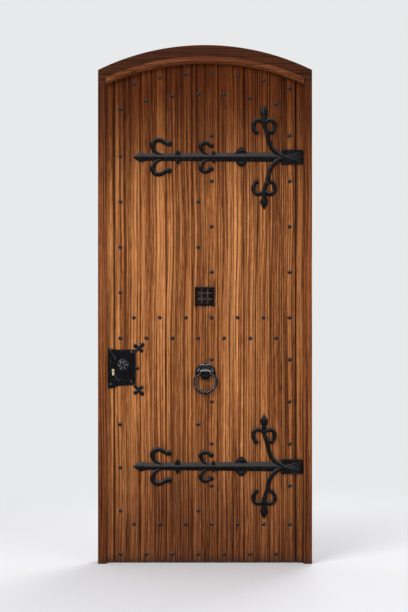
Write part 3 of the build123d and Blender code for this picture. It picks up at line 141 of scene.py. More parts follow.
def make_oak_grain():
    """Long grain with streaks, thin lines, open pores and a slow change of tone."""
    tree, given, out = new_group(
        "oak_grain",
        [("Vector", "Vector", None), ("Dark", "Color", None), ("Middle", "Color", None),
         ("Light", "Color", None), ("Contrast", "Float", 1.0)],
        [("Color", "Color"), ("Height", "Float"), ("Roughness", "Float")],
    )
    dark, light = given["Dark"], given["Light"]
    sway = minus(tree, noise(tree, given["Vector"], 1.3, (1, 1, 0.7), 1.0), 0.5)
    shift = add_node(tree, "ShaderNodeCombineXYZ", {"X": times(tree, sway, 0.05)}).outputs[0]
    swayed = vectors(tree, "ADD", given["Vector"], shift)[0]
    broad = noise(tree, swayed, 16, (1, 1, 0.03), 2.0)
    streaks = noise(tree, swayed, 90, (1, 1, 0.014), 2.5, 0.6)
    hairs = noise(tree, swayed, 330, (1, 1, 0.03), 3.0, 0.65)
    pores = noise(tree, swayed, 700, (1, 1, 0.05), 2.0)
    lines = noise(tree, swayed, 190, (1, 1, 0.004), 2.0, 0.55)
    mottle = noise(tree, swayed, 120, (1, 1, 0.12), 3.0, 0.65)
    total = 0.0
    for part, weight in ((broad, 0.4), (streaks, 0.7), (hairs, 0.65), (mottle, 0.45)):
        total = plus(tree, total, times(tree, minus(tree, part, 0.5), weight))
    centred = times(tree, total, given["Contrast"])
    tone = blend(tree, fade(tree, centred, 0.0, 0.2), given["Middle"], light)
    tone = blend(tree, fade(tree, centred, 0.0, -0.2), tone, dark)
    tone = blend(tree, fade(tree, lines, 0.53, 0.60, high=0.85), tone, dark)
    tone = blend(tree, fade(tree, lines, 0.46, 0.38, high=0.6), tone, light)
    pore_share = fade(tree, pores, 0.6, 0.72, high=0.35)
    tree.links.new(blend(tree, pore_share, tone, dark), out["Color"])
    relief = plus(tree, times(tree, streaks, 0.6), times(tree, hairs, 0.4))
    tree.links.new(minus(tree, relief, times(tree, pore_share, 0.6)), out["Height"])
    tree.links.new(fade(tree, streaks, 0.3, 0.7, 0.70, 0.52), out["Roughness"])
    return tree


def make_weathering_and_arch_shade():
    """Darker foot from splashes and dirt, and painted shade at the head: deeper colour where the stone arch
    would shade the wood, partly also wood the arch keeps from the sun.
    """
    tree, given, out = new_group(
        "weathering_and_arch_shade",
        [("Vector", "Vector", None), ("Color", "Color", None),
         ("Foot", "Float", 1.0), ("Head", "Float", 1.0)],
        [("Color", "Color")],
    )
    height = add_node(tree, "ShaderNodeSeparateXYZ", {0: given["Vector"]}).outputs["Z"]
    patches = noise(tree, given["Vector"], 5, (1, 1, 0.35), 3.0)
    uneven = plus(tree, height, times(tree, minus(tree, patches, 0.5), 0.5))
    foot = times(tree, fade(tree, uneven, 0.85, 0.02), given["Foot"])
    # Painted shade: wood high on the door darkens as the stone arch's shadow would darken it, partly also for
    # wood kept from fading
    head = times(tree, fade(tree, uneven, 1.55, 2.35), given["Head"])
    grime = times(tree, fade(tree, height, 0.06, 0.0, high=0.6), given["Foot"])
    tone = shaded(tree, foot, given["Color"], colour(186, 176, 182))
    tone = shaded(tree, head, tone, colour(134, 106, 74))
    tree.links.new(blend(tree, grime, tone, colour(46, 36, 30)), out["Color"])
    return tree


def make_beaten_iron():
    """Blacked iron with hammer marks, rubbed patches, rust, and grey on slopes that face up: dust, and a
    painted highlight from the light above.
    """
    tree, given, out = new_group(
        "beaten_iron",
        [("Vector", "Vector", None), ("Black", "Color", None), ("Rubbed", "Color", None),
         ("Rust", "Float", 0.15), ("Dust", "Float", 0.5)],
        [("Color", "Color"), ("Height", "Float"), ("Roughness", "Float")],
    )
    marks = noise(tree, given["Vector"], 85, detail=1.0)
    scale = noise(tree, given["Vector"], 420, detail=4.0, roughness=0.65)
    rubbing = fade(tree, noise(tree, given["Vector"], 60, detail=5.0, roughness=0.6), 0.52, 0.70)
    rusting = fade(tree, noise(tree, given["Vector"], 48, detail=6.0, roughness=0.7), 0.58, 0.7)
    normal = add_node(tree, "ShaderNodeNewGeometry").outputs["Normal"]
    upward = add_node(tree, "ShaderNodeSeparateXYZ", {0: normal}).outputs["Z"]
    # Painted highlight and dust: faces that turn up are painted grey, as if the light from above caught them
    top_light_and_dust_share = times(tree, fade(tree, upward, 0.15, 0.5), given["Dust"])
    tone = blend(tree, rubbing, given["Black"], given["Rubbed"])
    tone = blend(tree, times(tree, rusting, given["Rust"]), tone, colour(92, 54, 36))
    tree.links.new(blend(tree, top_light_and_dust_share, tone, colour(84, 80, 80)), out["Color"])
    tree.links.new(plus(tree, marks, times(tree, scale, 0.25)), out["Height"])
    tree.links.new(fade(tree, scale, 0.35, 0.65, 0.44, 0.28), out["Roughness"])
    return tree


oak_grain = make_oak_grain()
weathering_and_arch_shade = make_weathering_and_arch_shade()
beaten_iron = make_beaten_iron()


# Materials

OILED_WOOD_SHINE = 0.06
IRON_SHINE = 0.08
SHINE_FROM_HANDS = 1.5
WOOD_RELIEF = 0.0006
SCRATCH_RELIEF = 0.0001


def new_material(name):
    """Material with its Principled shader and Object coordinates."""
    material = bpy.data.materials.new(name)
    material.use_nodes = True
    tree = material.node_tree
    place = add_node(tree, "ShaderNodeTexCoord").outputs["Object"]
    return material, tree, tree.nodes["Principled BSDF"], place


def roughen(tree, shader, height, distance):
    """Bump from a height."""
    bump = add_node(tree, "ShaderNodeBump", {"Height": height, "Distance": distance})
    tree.links.new(bump.outputs[0], shader.inputs["Normal"])


def board_tones(tree, place, tone):
    """Own tone for each board, and dirt with painted shade in the beads and joints of the leaf's face."""
    axes = add_node(tree, "ShaderNodeSeparateXYZ", {0: place}).outputs
    from_left = minus(tree, axes["X"], BOARDS_LEFT)
    board = sums(tree, "FLOOR", sums(tree, "DIVIDE", from_left, BOARD_PITCH))
    own = add_node(tree, "ShaderNodeTexWhiteNoise", {"W": board}, noise_dimensions="1D")
    tone = shaded(tree, times(tree, own.outputs["Value"], 0.5), tone, colour(205, 196, 186))
    # Painted shade and dirt: the deeper a bead or joint lies behind the face, the darker it is painted
    depth = fade(tree, axes["Y"], LEAF_FACE + 0.0004, LEAF_FACE + 0.0028, high=0.85)
    in_front = sums(tree, "LESS_THAN", axes["Y"], LEAF_FACE + 0.02)
    return blend(tree, times(tree, depth, in_front), tone, colour(38, 19, 10))


def oak(name, dark, middle, light, contrast=1.0, foot=1.0, head=1.0, along_x=False, boards=False):
    """Oak with its grain along Z or X, and with the marks of the leaf's boards or without."""
    material, tree, shader, place = new_material(name)
    turn = (0, QUARTER, 0) if along_x else (0, 0, 0)
    turned = add_node(tree, "ShaderNodeMapping", {"Vector": place, "Rotation": turn}).outputs[0]
    tones = {"Dark": colour(*dark), "Middle": colour(*middle), "Light": colour(*light)}
    grain = use_group(tree, oak_grain, Vector=turned, Contrast=contrast, **tones)
    tone = board_tones(tree, place, grain["Color"]) if boards else grain["Color"]
    aged = use_group(tree, weathering_and_arch_shade, Vector=place, Color=tone, Foot=foot, Head=head)
    tree.links.new(aged["Color"], shader.inputs["Base Color"])
    tree.links.new(grain["Roughness"], shader.inputs["Roughness"])
    shader.inputs["Specular IOR Level"].default_value = OILED_WOOD_SHINE
    roughen(tree, shader, grain["Height"], WOOD_RELIEF)
    return material


def iron(name, black, rubbed, rust, relief, shine=0.0, top_light_and_dust=0.5):
    """Blacked iron, shinier where hands touch it."""
    material, tree, shader, place = new_material(name)
    tones = {"Black": colour(*black), "Rubbed": colour(*rubbed)}
    parts = use_group(tree, beaten_iron, Vector=place, Rust=rust, Dust=top_light_and_dust, **tones)
    tree.links.new(parts["Color"], shader.inputs["Base Color"])
    tree.links.new(minus(tree, parts["Roughness"], shine), shader.inputs["Roughness"])
    shader.inputs["Specular IOR Level"].default_value = IRON_SHINE + SHINE_FROM_HANDS * shine
    roughen(tree, shader, parts["Height"], relief)
    return material


def bare_metal(name, clean, dull, scale, roughness, plug=None):
    """Bare metal with brushed scratches and dull patches, and dark brown painted close round a lock's plug.
    """
    material, tree, shader, place = new_material(name)
    scratches = noise(tree, place, 900, (1, 1, 0.08), 3.0)
    tarnish = fade(tree, noise(tree, place, scale, detail=5.0, roughness=0.65), 0.42, 0.68)
    tone = blend(tree, tarnish, colour(*clean), colour(*dull))
    if plug:
        # Dark brown within a small ring round the plug
        flat = vectors(tree, "MULTIPLY", place, (1, 0, 1))[0]
        away = vectors(tree, "DISTANCE", flat, plug)["Value"]
        tone = blend(tree, fade(tree, away, 0.0092, 0.0082), tone, colour(34, 28, 20))
    tree.links.new(tone, shader.inputs["Base Color"])
    uneven = plus(tree, times(tree, tarnish, 0.2), times(tree, scratches, 0.16))
    tree.links.new(plus(tree, uneven, roughness), shader.inputs["Roughness"])
    shader.inputs["Metallic"].default_value = 1.0
    roughen(tree, shader, scratches, SCRATCH_RELIEF)
    return material


board_oak = oak("oiled_board_oak", (88, 46, 22), (160, 97, 52), (208, 142, 86), boards=True)
backing_oak = oak("backing_oak", (104, 62, 34), (150, 100, 58), (182, 132, 86), 0.8, 0.5, 0.3)
rail_oak = oak("rail_oak", (104, 62, 34), (148, 98, 58), (180, 130, 86), 0.8, 0.5, 0.3, along_x=True)
# Jambs: reddish stain, and darker still as painted shade of the stone reveal beside them
jamb_oak = oak("jamb_oak_stain_and_reveal_shade", (62, 30, 13), (118, 64, 31), (156, 94, 52), 1.0, 0.8, 0.9)
# Frame head: its dark tone is painted shade of the stone arch above it
head_oak = oak("head_oak_painted_arch_shade", (42, 20, 10), (80, 42, 22), (108, 62, 34), 0.8, 0.0, 0.5, along_x=True)
moulding_oak = oak("moulding_oak", (66, 33, 16), (112, 62, 33), (142, 86, 50), 0.8, 0.0, 0.3, along_x=True)
flap_oak = oak("flap_oak", (60, 36, 22), (104, 68, 44), (130, 90, 60), 0.7, 0.0, 0.0)
wrought = iron("blacked_wrought_iron", (8, 8, 9), (34, 34, 38), 0.12, 0.0006)
cast = iron("blacked_cast_iron", (12, 12, 14), (34, 34, 38), 0.06, 0.0005)
handled = iron("handled_iron", (9, 9, 11), (24, 24, 28), 0.05, 0.0003, 0.10, 0.15)
twisted = iron("blacked_twisted_iron", (4, 4, 6), (12, 12, 15), 0.02, 0.0003, 0.0, 0.0)
nail_iron = iron("nail_head_iron", (9, 9, 11), (24, 24, 28), 0.05, 0.0003, 0.12, 0.45)
# Painted highlight: light grey iron for the crests of the ring and knob and the lip, brows and cheeks of the
# mask, where light would catch black iron
highlight_iron = iron("painted_highlight_iron", (140, 142, 150), (196, 198, 206), 0.03, 0.0003, 0.1, 0.0)
worn = iron("worn_iron", (44, 45, 50), (92, 92, 97), 0.05, 0.0003, 0.1, 0.2)
steel = bare_metal("dull_steel", (168, 168, 170), (112, 110, 108), 40, 0.3)
brass = bare_metal("tarnished_brass", (236, 224, 184), (172, 150, 104), 60, 0.26)
cylinder_brass = bare_metal(
    "cylinder_brass", (226, 212, 170), (168, 146, 100), 60, 0.3, (CYLINDER_X, 0, CYLINDER_Z)
)

WOODS = {
    board_oak: [f"board_{number}" for number in range(1, 8)] + ["lock_edge_board", "hinge_edge_board"],
    backing_oak: ["lock_stile", "hinge_stile", "upper_muntin", "lower_muntin"],
    rail_oak: ["top_rail", "middle_rail", "bottom_rail"],
    jamb_oak: ["jamb_left", "jamb_right", "facing_left", "facing_right"],
    head_oak: ["frame_head", "facing_head"],
    moulding_oak: ["head_moulding"],
    flap_oak: ["judas_flap", "judas_flap_frame"],
}
METALS = {
    wrought: ["lock_plate", "judas_grille_frame", "knocker_stud", "knocker_bolts", "pull_knob_outside"],
    worn: ["judas_grille_bars"],
    steel: ["jamb_hinge_plates", "leaf_hinge_plates", "strike_plate", "lock_faceplate", "lock_case",
            "deadbolt", "knob_spindle", "cylinder_cam", "turn_button_screw"],
    cylinder_brass: ["cylinder_body"],
    brass: ["cylinder_plug", "thumb_turn", "flap_hinge_frame_plate", "flap_hinge_flap_plate",
            "flap_knob", "turn_button", "pull_knob_inside", "inside_escutcheon"],
}
for finishes in (WOODS, METALS):
    for material, names in finishes.items():
        for name in names:
            for index in range(len(nodes[name].data.materials)):
                nodes[name].data.materials[index] = material


# Iron pieces are shaped on their backs, X right, Y up, Z out to the street

def hang(bm, name, place, material, body, slot, *stands_for, sharp=40):
    """Turn a shaped piece to its place on the door's face and give it its finish."""
    bmesh.ops.remove_doubles(bm, verts=bm.verts, dist=0.00001)
    bmesh.ops.recalc_face_normals(bm, faces=bm.faces)
    for surface in bm.faces:
        surface.smooth = True
    for edge in bm.edges:
        if len(edge.link_faces) == 2 and edge.calc_face_angle() > radians(sharp):
            edge.smooth = False
    upright = Matrix.Translation(place) @ Matrix.Rotation(QUARTER, 4, "X")
    bmesh.ops.transform(bm, matrix=upright, verts=bm.verts)
    mesh = bpy.data.meshes.new(name)
    bm.to_mesh(mesh)
    bm.free()
    mesh.materials.append(material)
    piece = bpy.data.objects.new(name, mesh)
    bpy.context.scene.collection.objects.link(piece)
    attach(piece, body)
    if stands_for:
        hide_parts(*stands_for)
    return piece


def verts_in(parts):
    """Vertices among the parts that an operator made."""
    return [part for part in parts if isinstance(part, bmesh.types.BMVert)]


def edges_in(parts):
    """Edges among the parts that an operator made."""
    return [part for part in parts if isinstance(part, bmesh.types.BMEdge)]


def edges_of(verts):
    """Edges that meet some vertices, each once."""
    return list(dict.fromkeys(edge for vert in verts for edge in vert.link_edges))


def fresh_verts(bm, known):
    """Vertices made since a set of known ones was taken."""
    return [vert for vert in bm.verts if vert not in known]


def bevel(bm, edges, offset, segments=2):
    """Round some edges."""
    sizes = {"offset": offset, "segments": segments, "profile": 0.5}
    bmesh.ops.bevel(bm, geom=edges, affect="EDGES", material=-1, **sizes)


def add_ball(bm, around, up, radius, place, squash=(1, 1, 1)):
    """Vertices of a ball, squashed on each axis and put in its place."""
    made = bmesh.ops.create_uvsphere(bm, u_segments=around, v_segments=up, radius=radius)["verts"]
    bmesh.ops.scale(bm, vec=squash, verts=made)
    bmesh.ops.translate(bm, vec=place, verts=made)
    return made


def add_block(bm, size, place):
    """Vertices of a block with its middle at a place."""
    made = bmesh.ops.create_cube(bm, size=1)["verts"]
    bmesh.ops.scale(bm, vec=size, verts=made)
    bmesh.ops.translate(bm, vec=place, verts=made)
    return made


def add_cone(bm, corners, foot, tip, depth, place=(0, 0, 0), about=None):
    """Vertices of a closed cone, standing, or laid down by a quarter turn about an axis."""
    sizes = {"radius1": foot, "radius2": tip, "depth": depth}
    made = bmesh.ops.create_cone(bm, cap_ends=True, segments=corners, **sizes)["verts"]
    if about:
        bmesh.ops.rotate(bm, matrix=Matrix.Rotation(QUARTER, 3, about), verts=made)
    bmesh.ops.translate(bm, vec=place, verts=made)
    return made


def close_ring(bm, edges):
    """Face over an open ring of edges."""
    bmesh.ops.holes_fill(bm, edges=edges, sides=0)


def draw_out(bm, verts, edges):
    """Extrude a ring, and give the new one in the old one's order."""
    drawn = bmesh.ops.extrude_edge_only(bm, edges=edges)["geom"]
    fresh = set(verts_in(drawn))
    new_edges = [edge for edge in edges_in(drawn) if all(vert in fresh for vert in edge.verts)]
    new_verts = [next(v for e in vert.link_edges for v in e.verts if v in fresh) for vert in verts]
    return new_verts, new_edges


def spin_on(bm, verts, edges, centre, axis, angle):
    """Spin a ring by one step round a centre, and give the new one."""
    spun = bmesh.ops.spin(bm, geom=verts + edges, cent=centre, axis=axis, angle=angle, steps=1)
    return verts_in(spun["geom_last"]), edges_in(spun["geom_last"])


def drop_walls(bm):
    """Walls from a sheet's rim down to the back, and the edges of their feet."""
    rim = [edge for edge in bm.edges if len(edge.link_faces) == 1]
    walls = bmesh.ops.extrude_edge_only(bm, edges=rim)["geom"]
    feet = verts_in(walls)
    for vert in feet:
        vert.co.z = 0
    return [edge for edge in edges_in(walls) if all(vert in feet for vert in edge.verts)]


def start_ring(bm, place, heading, half, rise, corners):
    """Closed ring of edges across a heading, hammered round above a flat back."""
    made = bmesh.ops.create_circle(bm, segments=corners, radius=1)["verts"]
    across = Vector((heading.y, -heading.x, 0))
    for vert in made:
        side, up = vert.co.x, max(vert.co.y, 0) ** 0.8
        vert.co = place + across * side * half + Vector((0, 0, up * rise))
    return made, edges_of(made)


def bar_size(share, root, thin):
    """Size along a bent bar: its root where it leaves the strap, full at its curl, thinner at its end."""
    return (root + (1 - root) * min(1.0, share / 0.35)) * (1 - (1 - thin) * max(0.0, 2 * share - 1))


def bend_bar(bm, route, heading, half, rise, thin=1.0, knob=0.0, root=0.55, corners=14):
    """Bar bent through tangent arcs from point to point, with a flat knob at its end."""
    points = [Vector((x, y, 0)) for x, y in route]
    heading = Vector((heading[0], heading[1], 0)).normalized()
    verts, edges = start_ring(bm, points[0], heading, root * half, root * rise, corners)
    close_ring(bm, edges)
    turns = []
    for place, target in zip(points, points[1:]):
        run = target - place
        left = Vector((-heading.y, heading.x, 0))
        angle = 2 * atan2(heading.cross(run).z, heading.dot(run))
        centre = place + left * (run.length_squared / (2 * left.dot(run)))
        steps = max(2, ceil(abs(angle) / radians(11)))
        turns += [(centre, angle / steps)] * steps
        heading = Matrix.Rotation(angle, 3, "Z") @ heading
    middle = points[0]
    for number, (centre, angle) in enumerate(turns):
        verts, edges = spin_on(bm, verts, edges, centre, (0, 0, 1), angle)
        middle = centre + Matrix.Rotation(angle, 3, "Z") @ (middle - centre)
        before = bar_size(number / len(turns), root, thin)
        size = bar_size((number + 1) / len(turns), root, thin) / before
        bmesh.ops.scale(bm, vec=(size, size, size), space=Matrix.Translation(-middle), verts=verts)
    close_ring(bm, edges)
    if knob:
        for vert in add_ball(bm, 12, 8, knob, middle + Vector((0, 0, 0.35 * rise)), (1, 1, 0.62)):
            vert.co.z = max(vert.co.z, 0)


def raise_bar(bm, route, heading, half, rise, height, thin, root):
    """Bent bar lifted off the back of the piece."""
    known = set(bm.verts)
    bend_bar(bm, route, heading, half, rise, thin, root=root, corners=12)
    bmesh.ops.translate(bm, vec=(0, 0, height), verts=fresh_verts(bm, known))


def draw_bar(bm, start, heading, stations, rounding=0.0008):
    """Straight bar with a ridge, drawn out through stations of distance, half width, edge and ridge."""
    heading = Vector(heading).normalized()
    across = Vector((-heading.y, heading.x, 0))
    verts = bmesh.ops.create_circle(bm, segments=5, radius=1)["verts"]
    loop = edges_of(verts)
    foot = loop
    made = []
    for number, (distance, half, edge, ridge) in enumerate(stations):
        if number:
            verts, loop = draw_out(bm, verts, loop)
        made += verts
        middle = Vector(start) + heading * distance
        section = ((-half, 0), (half, 0), (half, edge), (0, ridge), (-half, edge))
        for vert, (side, up) in zip(verts, section):
            vert.co = middle + across * side + Vector((0, 0, up))
    close_ring(bm, foot)
    close_ring(bm, loop)
    raised = [edge for edge in edges_of(made) if max(vert.co.z for vert in edge.verts) > 0.0005]
    bevel(bm, [edge for edge in raised if len(edge.link_faces) == 2], rounding)


# Strap iron, measured from its end by the hinges

SPEAR_TIP = -0.826
BOSS_X = -0.299
FLEUR_X = -0.188
FLEUR_Y = 0.166
BLOCK_LENGTH = 0.100
BLOCK_HEIGHT = 0.069
RIB_RUN = 0.083
RIB_SPREAD = 0.013
PLATE_LOBES = 4
# Place, width and height of each collar
COLLARS = ((-0.609, 0.032, 0.070), (-0.434, 0.021, 0.061))


def hammered_plate(bm, x, width, height, thickness, lobe, corners=48):
    """Plate with four lobes, a share deep, and a beaten edge."""
    rim = bmesh.ops.create_circle(bm, cap_ends=True, segments=corners, radius=1)["verts"]
    for vert in rim:
        angle = atan2(vert.co.y, vert.co.x)
        reach = 1 - lobe * (1 - cos(PLATE_LOBES * angle)) / 2
        vert.co = Vector((x + reach * cos(angle) * width / 2, reach * sin(angle) * height / 2, 0))
    top = verts_in(bmesh.ops.extrude_face_region(bm, geom=list(rim[0].link_faces))["geom"])
    bmesh.ops.translate(bm, vec=(0, 0, thickness), verts=top)
    edges = [edge for edge in edges_of(top) if all(vert in top for vert in edge.verts)]
    bevel(bm, edges, 0.3 * thickness, 3)


def make_strap(name, z):
    """Ridged bar with a spear, scrolls, collars, a boss, fleurs and an end block."""
    bm = bmesh.new()
    draw_bar(bm, (SPEAR_TIP, 0, 0), (1, 0, 0), [
        (0, 0.0015, 0.003, 0.004), (0.010, 0.009, 0.003, 0.007), (0.024, 0.020, 0.003, 0.0100),
        (0.040, 0.0245, 0.003, 0.0125), (0.054, 0.0205, 0.003, 0.0132), (0.068, 0.0168, 0.003, 0.0132),
        (0.732, 0.0238, 0.003, 0.0132),
    ])
    large = [(-0.650, 0.004), (-0.6995, 0.0145), (-0.7315, 0.0500), (-0.7125, 0.0825),
             (-0.680, 0.0755), (-0.652, 0.0655)]
    small = [(-0.437, 0.004), (-0.468, 0.0125), (-0.4955, 0.046), (-0.476, 0.0705), (-0.446, 0.0570)]
    branch = [(-0.094, 0.002), (-0.132, 0.024), (-0.166, 0.084), (-0.186, 0.155), (-0.188, 0.182)]
    petal = [(-0.186, 0.150), (-0.158, 0.1800), (-0.1360, 0.160), (-0.150, 0.121)]
    other_petal = [(2 * FLEUR_X - x, y) for x, y in petal]
    bends = (
        (large, (-1, 0.08), {"half": 0.0118, "rise": 0.0124, "thin": 0.86, "knob": 0.0145}),
        (small, (-1, 0.08), {"half": 0.0107, "rise": 0.0122, "thin": 0.86, "knob": 0.0128}),
        (branch, (-1, 0.35), {"half": 0.0106, "rise": 0.0122, "thin": 0.9, "root": 1.2}),
        (petal, (-0.12, 0.99), {"half": 0.0106, "rise": 0.0120, "thin": 0.88, "knob": 0.0120}),
        (other_petal, (0.12, 0.99), {"half": 0.0106, "rise": 0.0120, "thin": 0.88, "knob": 0.0120}),
    )
    for flip in (1, -1):
        for route, heading, sizes in bends:
            flipped = [(x, y * flip) for x, y in route]
            bend_bar(bm, flipped, (heading[0], heading[1] * flip), **sizes)
        draw_bar(bm, (FLEUR_X, FLEUR_Y * flip, 0), (0, flip, 0), [
            (0, 0.0065, 0.005, 0.0110), (0.014, 0.0100, 0.005, 0.0120), (0.022, 0.0125, 0.005, 0.0124),
            (0.030, 0.0105, 0.005, 0.0124), (0.041, 0.0160, 0.004, 0.0128), (0.053, 0.0190, 0.004, 0.0128),
            (0.066, 0.0150, 0.004, 0.0105), (0.080, 0.0072, 0.003, 0.0070), (0.090, 0.0012, 0.002, 0.0030),
        ])
    for x, width, height in COLLARS:
        hammered_plate(bm, x, width, height, 0.009, 0.06, 32)
    hammered_plate(bm, BOSS_X, 0.072, 0.095, 0.0056, 0.09)
    for side in (1, -1):
        add_ball(bm, 16, 8, 0.010, (BOSS_X, side * 0.031, 0.004), (1.5, 0.75, 0.5))
    block = add_block(bm, (BLOCK_LENGTH, BLOCK_HEIGHT, 0.009), (-BLOCK_LENGTH / 2, 0, 0.0045))
    for vert in block:
        if vert.co.x < -0.9 * BLOCK_LENGTH:
            vert.co.x -= 0.004
            vert.co.y *= 1.08
    bevel(bm, edges_of(block), 0.0014)
    add_block(bm, (RIB_RUN, BLOCK_HEIGHT, 0.0024), (-BLOCK_LENGTH + RIB_RUN / 2, 0, 0.0098))
    for rib in (-1.5, -0.5, 0.5, 1.5):
        run = Vector((RIB_RUN, rib * RIB_SPREAD, 0))
        stations = [(0, 0.0040, 0.0010, 0.0042), (run.length, 0.0026, 0.0008, 0.0030)]
        draw_bar(bm, (-BLOCK_LENGTH, 0, 0.010), run, stations, 0.0005)
    hang(bm, name + "_iron", (STRAP_END, LEAF_FACE, z), wrought, "leaf", "black_iron", name, sharp=48)


for name, z in STRAP_HEIGHTS.items():
    make_strap(name, z)


# Nails: six-sided forged heads, each a little different

def nail_places():
    """X and Z of each nail, read from the middles of the CAD heads."""
    low = [vert.co for vert in nodes["board_nails"].data.vertices if vert.co.y < LEAF_FACE - 0.006]
    places = []
    for co in low:
        if all(hypot(co.x - x, co.z - z) > 0.005 for x, z in places):
            places.append((co.x, co.z))
    return sorted(places)


def make_nails():
    """Heads of all the nails, whose shanks the boards hide."""
    chance = random.Random(7)
    bm = bmesh.new()
    for x, z in nail_places():
        known = set(bm.verts)
        size = chance.uniform(0.99, 1.07)
        head = add_cone(bm, 6, 0.0108 * size, 0.0070 * size, 0.0042)
        top = [vert for vert in head if vert.co.z > 0]
        cap = next(surface for surface in top[0].link_faces if all(vert in top for vert in surface.verts))
        bmesh.ops.inset_region(bm, faces=[cap], thickness=0.0036 * size, depth=0.0020 * size)
        edges = edges_of(head + list(cap.verts))
        bevel(bm, [edge for edge in edges if max(vert.co.z for vert in edge.verts) > 0], 0.0007, 1)
        made = fresh_verts(bm, known)
        bmesh.ops.rotate(bm, matrix=Matrix.Rotation(chance.uniform(0, pi / 3), 3, "Z"), verts=made)
        bmesh.ops.rotate(bm, matrix=Matrix.Rotation(radians(chance.uniform(-3, 3)), 3, "X"), verts=made)
        bmesh.ops.translate(bm, vec=(x, z, 0.0018), verts=made)
    hang(bm, "forged_nail_heads", (0, LEAF_FACE, 0), nail_iron, "leaf", "black_iron", "board_nails", sharp=30)


make_nails()


# Knocker: lion mask and the twisted ring in its mouth

PIVOT_STAND = 0.0165
RING_RADIUS = 0.0515
RING_GAP = radians(26)
RING_BAR = 0.0076
RING_WAIST = 0.36
RING_STEPS = 120
RING_TWIST = radians(18)
BAR_SIDES = 4
HIGHLIGHT_FROM = 0.90
TEETH_RADIUS = 0.0345
TEETH_STEP = radians(13)


def make_knocker_ring():
    """Ring of a twisted square bar, with its cross bar, ball ends and the bead at the bottom."""
    bm = bmesh.new()
    centre = Vector((0, -RING_RADIUS * cos(RING_GAP), PIVOT_STAND))
    outwards = Vector((sin(RING_GAP), cos(RING_GAP), 0))
    ring = bmesh.ops.create_circle(bm, segments=48, radius=1)["verts"]
    for vert in ring:
        angle = atan2(vert.co.y, vert.co.x)
        reach = RING_BAR * (1 - RING_WAIST * (1 - cos(BAR_SIDES * angle)) / 2)
        out, up = RING_RADIUS + reach * cos(angle), reach * sin(angle)
        vert.co = centre + outwards * out + Vector((0, 0, up))
    edges = edges_of(ring)
    close_ring(bm, edges)
    sweep = 2 * (pi - RING_GAP)
    for step in range(1, RING_STEPS + 1):
        ring, edges = spin_on(bm, ring, edges, centre, (0, 0, -1), sweep / RING_STEPS)
        angle = RING_GAP + sweep * step / RING_STEPS
        middle = centre + Vector((sin(angle), cos(angle), 0)) * RING_RADIUS
        along = Vector((cos(angle), -sin(angle), 0))
        bmesh.ops.rotate(bm, cent=middle, matrix=Matrix.Rotation(RING_TWIST, 3, along), verts=ring)
    close_ring(bm, edges)
    # Painted highlight: the faces farthest out on the bar's crests, a tenth of all, get the light grey iron
    outs = {}
    for surface in bm.faces:
        middle = surface.calc_center_median() - centre
        outs[surface] = hypot(hypot(middle.x, middle.y) - RING_RADIUS, middle.z)
    highlight_reach = sorted(outs.values())[int(HIGHLIGHT_FROM * len(outs))]
    for surface, out in outs.items():
        surface.material_index = int(out > highlight_reach)
    end = RING_RADIUS * sin(RING_GAP)
    bottom = centre.y - RING_RADIUS
    add_cone(bm, 24, 0.005, 0.005, 2 * end, (0, 0, PIVOT_STAND), "Y")
    for side in (-1, 1):
        add_ball(bm, 16, 10, 0.0066, (side * end, 0, PIVOT_STAND))
    add_ball(bm, 20, 12, 0.008, (0, bottom, PIVOT_STAND), (0.55, 1, 1))
    add_cone(bm, 12, 0.004, 0.0008, 0.0054, (0, bottom - 0.0090, PIVOT_STAND), "X")
    names = ("knocker_ring", "cast_iron", "knocker_ring")
    piece = hang(bm, "twisted_knocker_ring", KNOCKER, twisted, *names, sharp=50)
    piece.data.materials.append(highlight_iron)


# The face is worked out in millimetres, X right and Y up from the ring's bar
LIP_RADIUS = 41.5
LIP_CENTRE = -24.0
FACE_MIDDLE = 11
FACE_HALF_WIDTH = 46.5
FACE_HALF_HEIGHT = 37
FACE_TURN = radians(84)
MOUTH_EDGE = LIP_RADIUS - 3.4
CHEEK_REACH = 46.5
CROWN_REACH = 25
LIP_RISE = 7
LIP_SPREAD = 3.6
GROOVE_DEPTH = 3
GROOVE_RADIUS = LIP_RADIUS + 6.5
GROOVE_SPREAD = 2.4
MANE_PLACE = 0.86
MANE_SPREAD = 0.12
# Middle to the side and up, spread to the side and up, and rise of each swelling
SWELLINGS = {
    "nose": (0, 26, 5.5, 5, 7),
    "bridge": (0, 36, 4, 7, 3),
    "brows": (14, 38, 9, 3.0, 7),
    "sockets": (13.5, 31, 6.5, 3.6, -8),
    "eyes": (13.5, 30.5, 2.6, 2.0, 3),
    "cheeks": (28, 27, 4.5, 6, 5),
}


def swell(side, y, middle_x, middle_y, spread_x, spread_y, rise):
    """Soft round swelling of the mask."""
    return rise * exp(-(((side - middle_x) / spread_x) ** 2) - ((y - middle_y) / spread_y) ** 2)


def mask_height(x, y, lip):
    """Height of the lion's face: dome, lip and its groove, swellings, and locks of the mane."""
    edge = min(1.0, hypot(x / FACE_HALF_WIDTH, (y - FACE_MIDDLE) / FACE_HALF_HEIGHT))
    height = 6 + 11 * sqrt(max(0.0, 1 - edge**2))
    height += LIP_RISE * exp(-(((lip - LIP_RADIUS) / LIP_SPREAD) ** 2))
    height -= GROOVE_DEPTH * exp(-(((lip - GROOVE_RADIUS) / GROOVE_SPREAD) ** 2))
    height += sum(swell(abs(x), y, *swelling) for swelling in SWELLINGS.values())
    around = atan2(y - FACE_MIDDLE, x)
    locks = cos(26 * around + 9 * edge) * 1.8 + cos(13 * around - 5 * edge) * 1.4
    height += locks * exp(-(((edge - MANE_PLACE) / MANE_SPREAD) ** 2))
    return max(2.0, height)


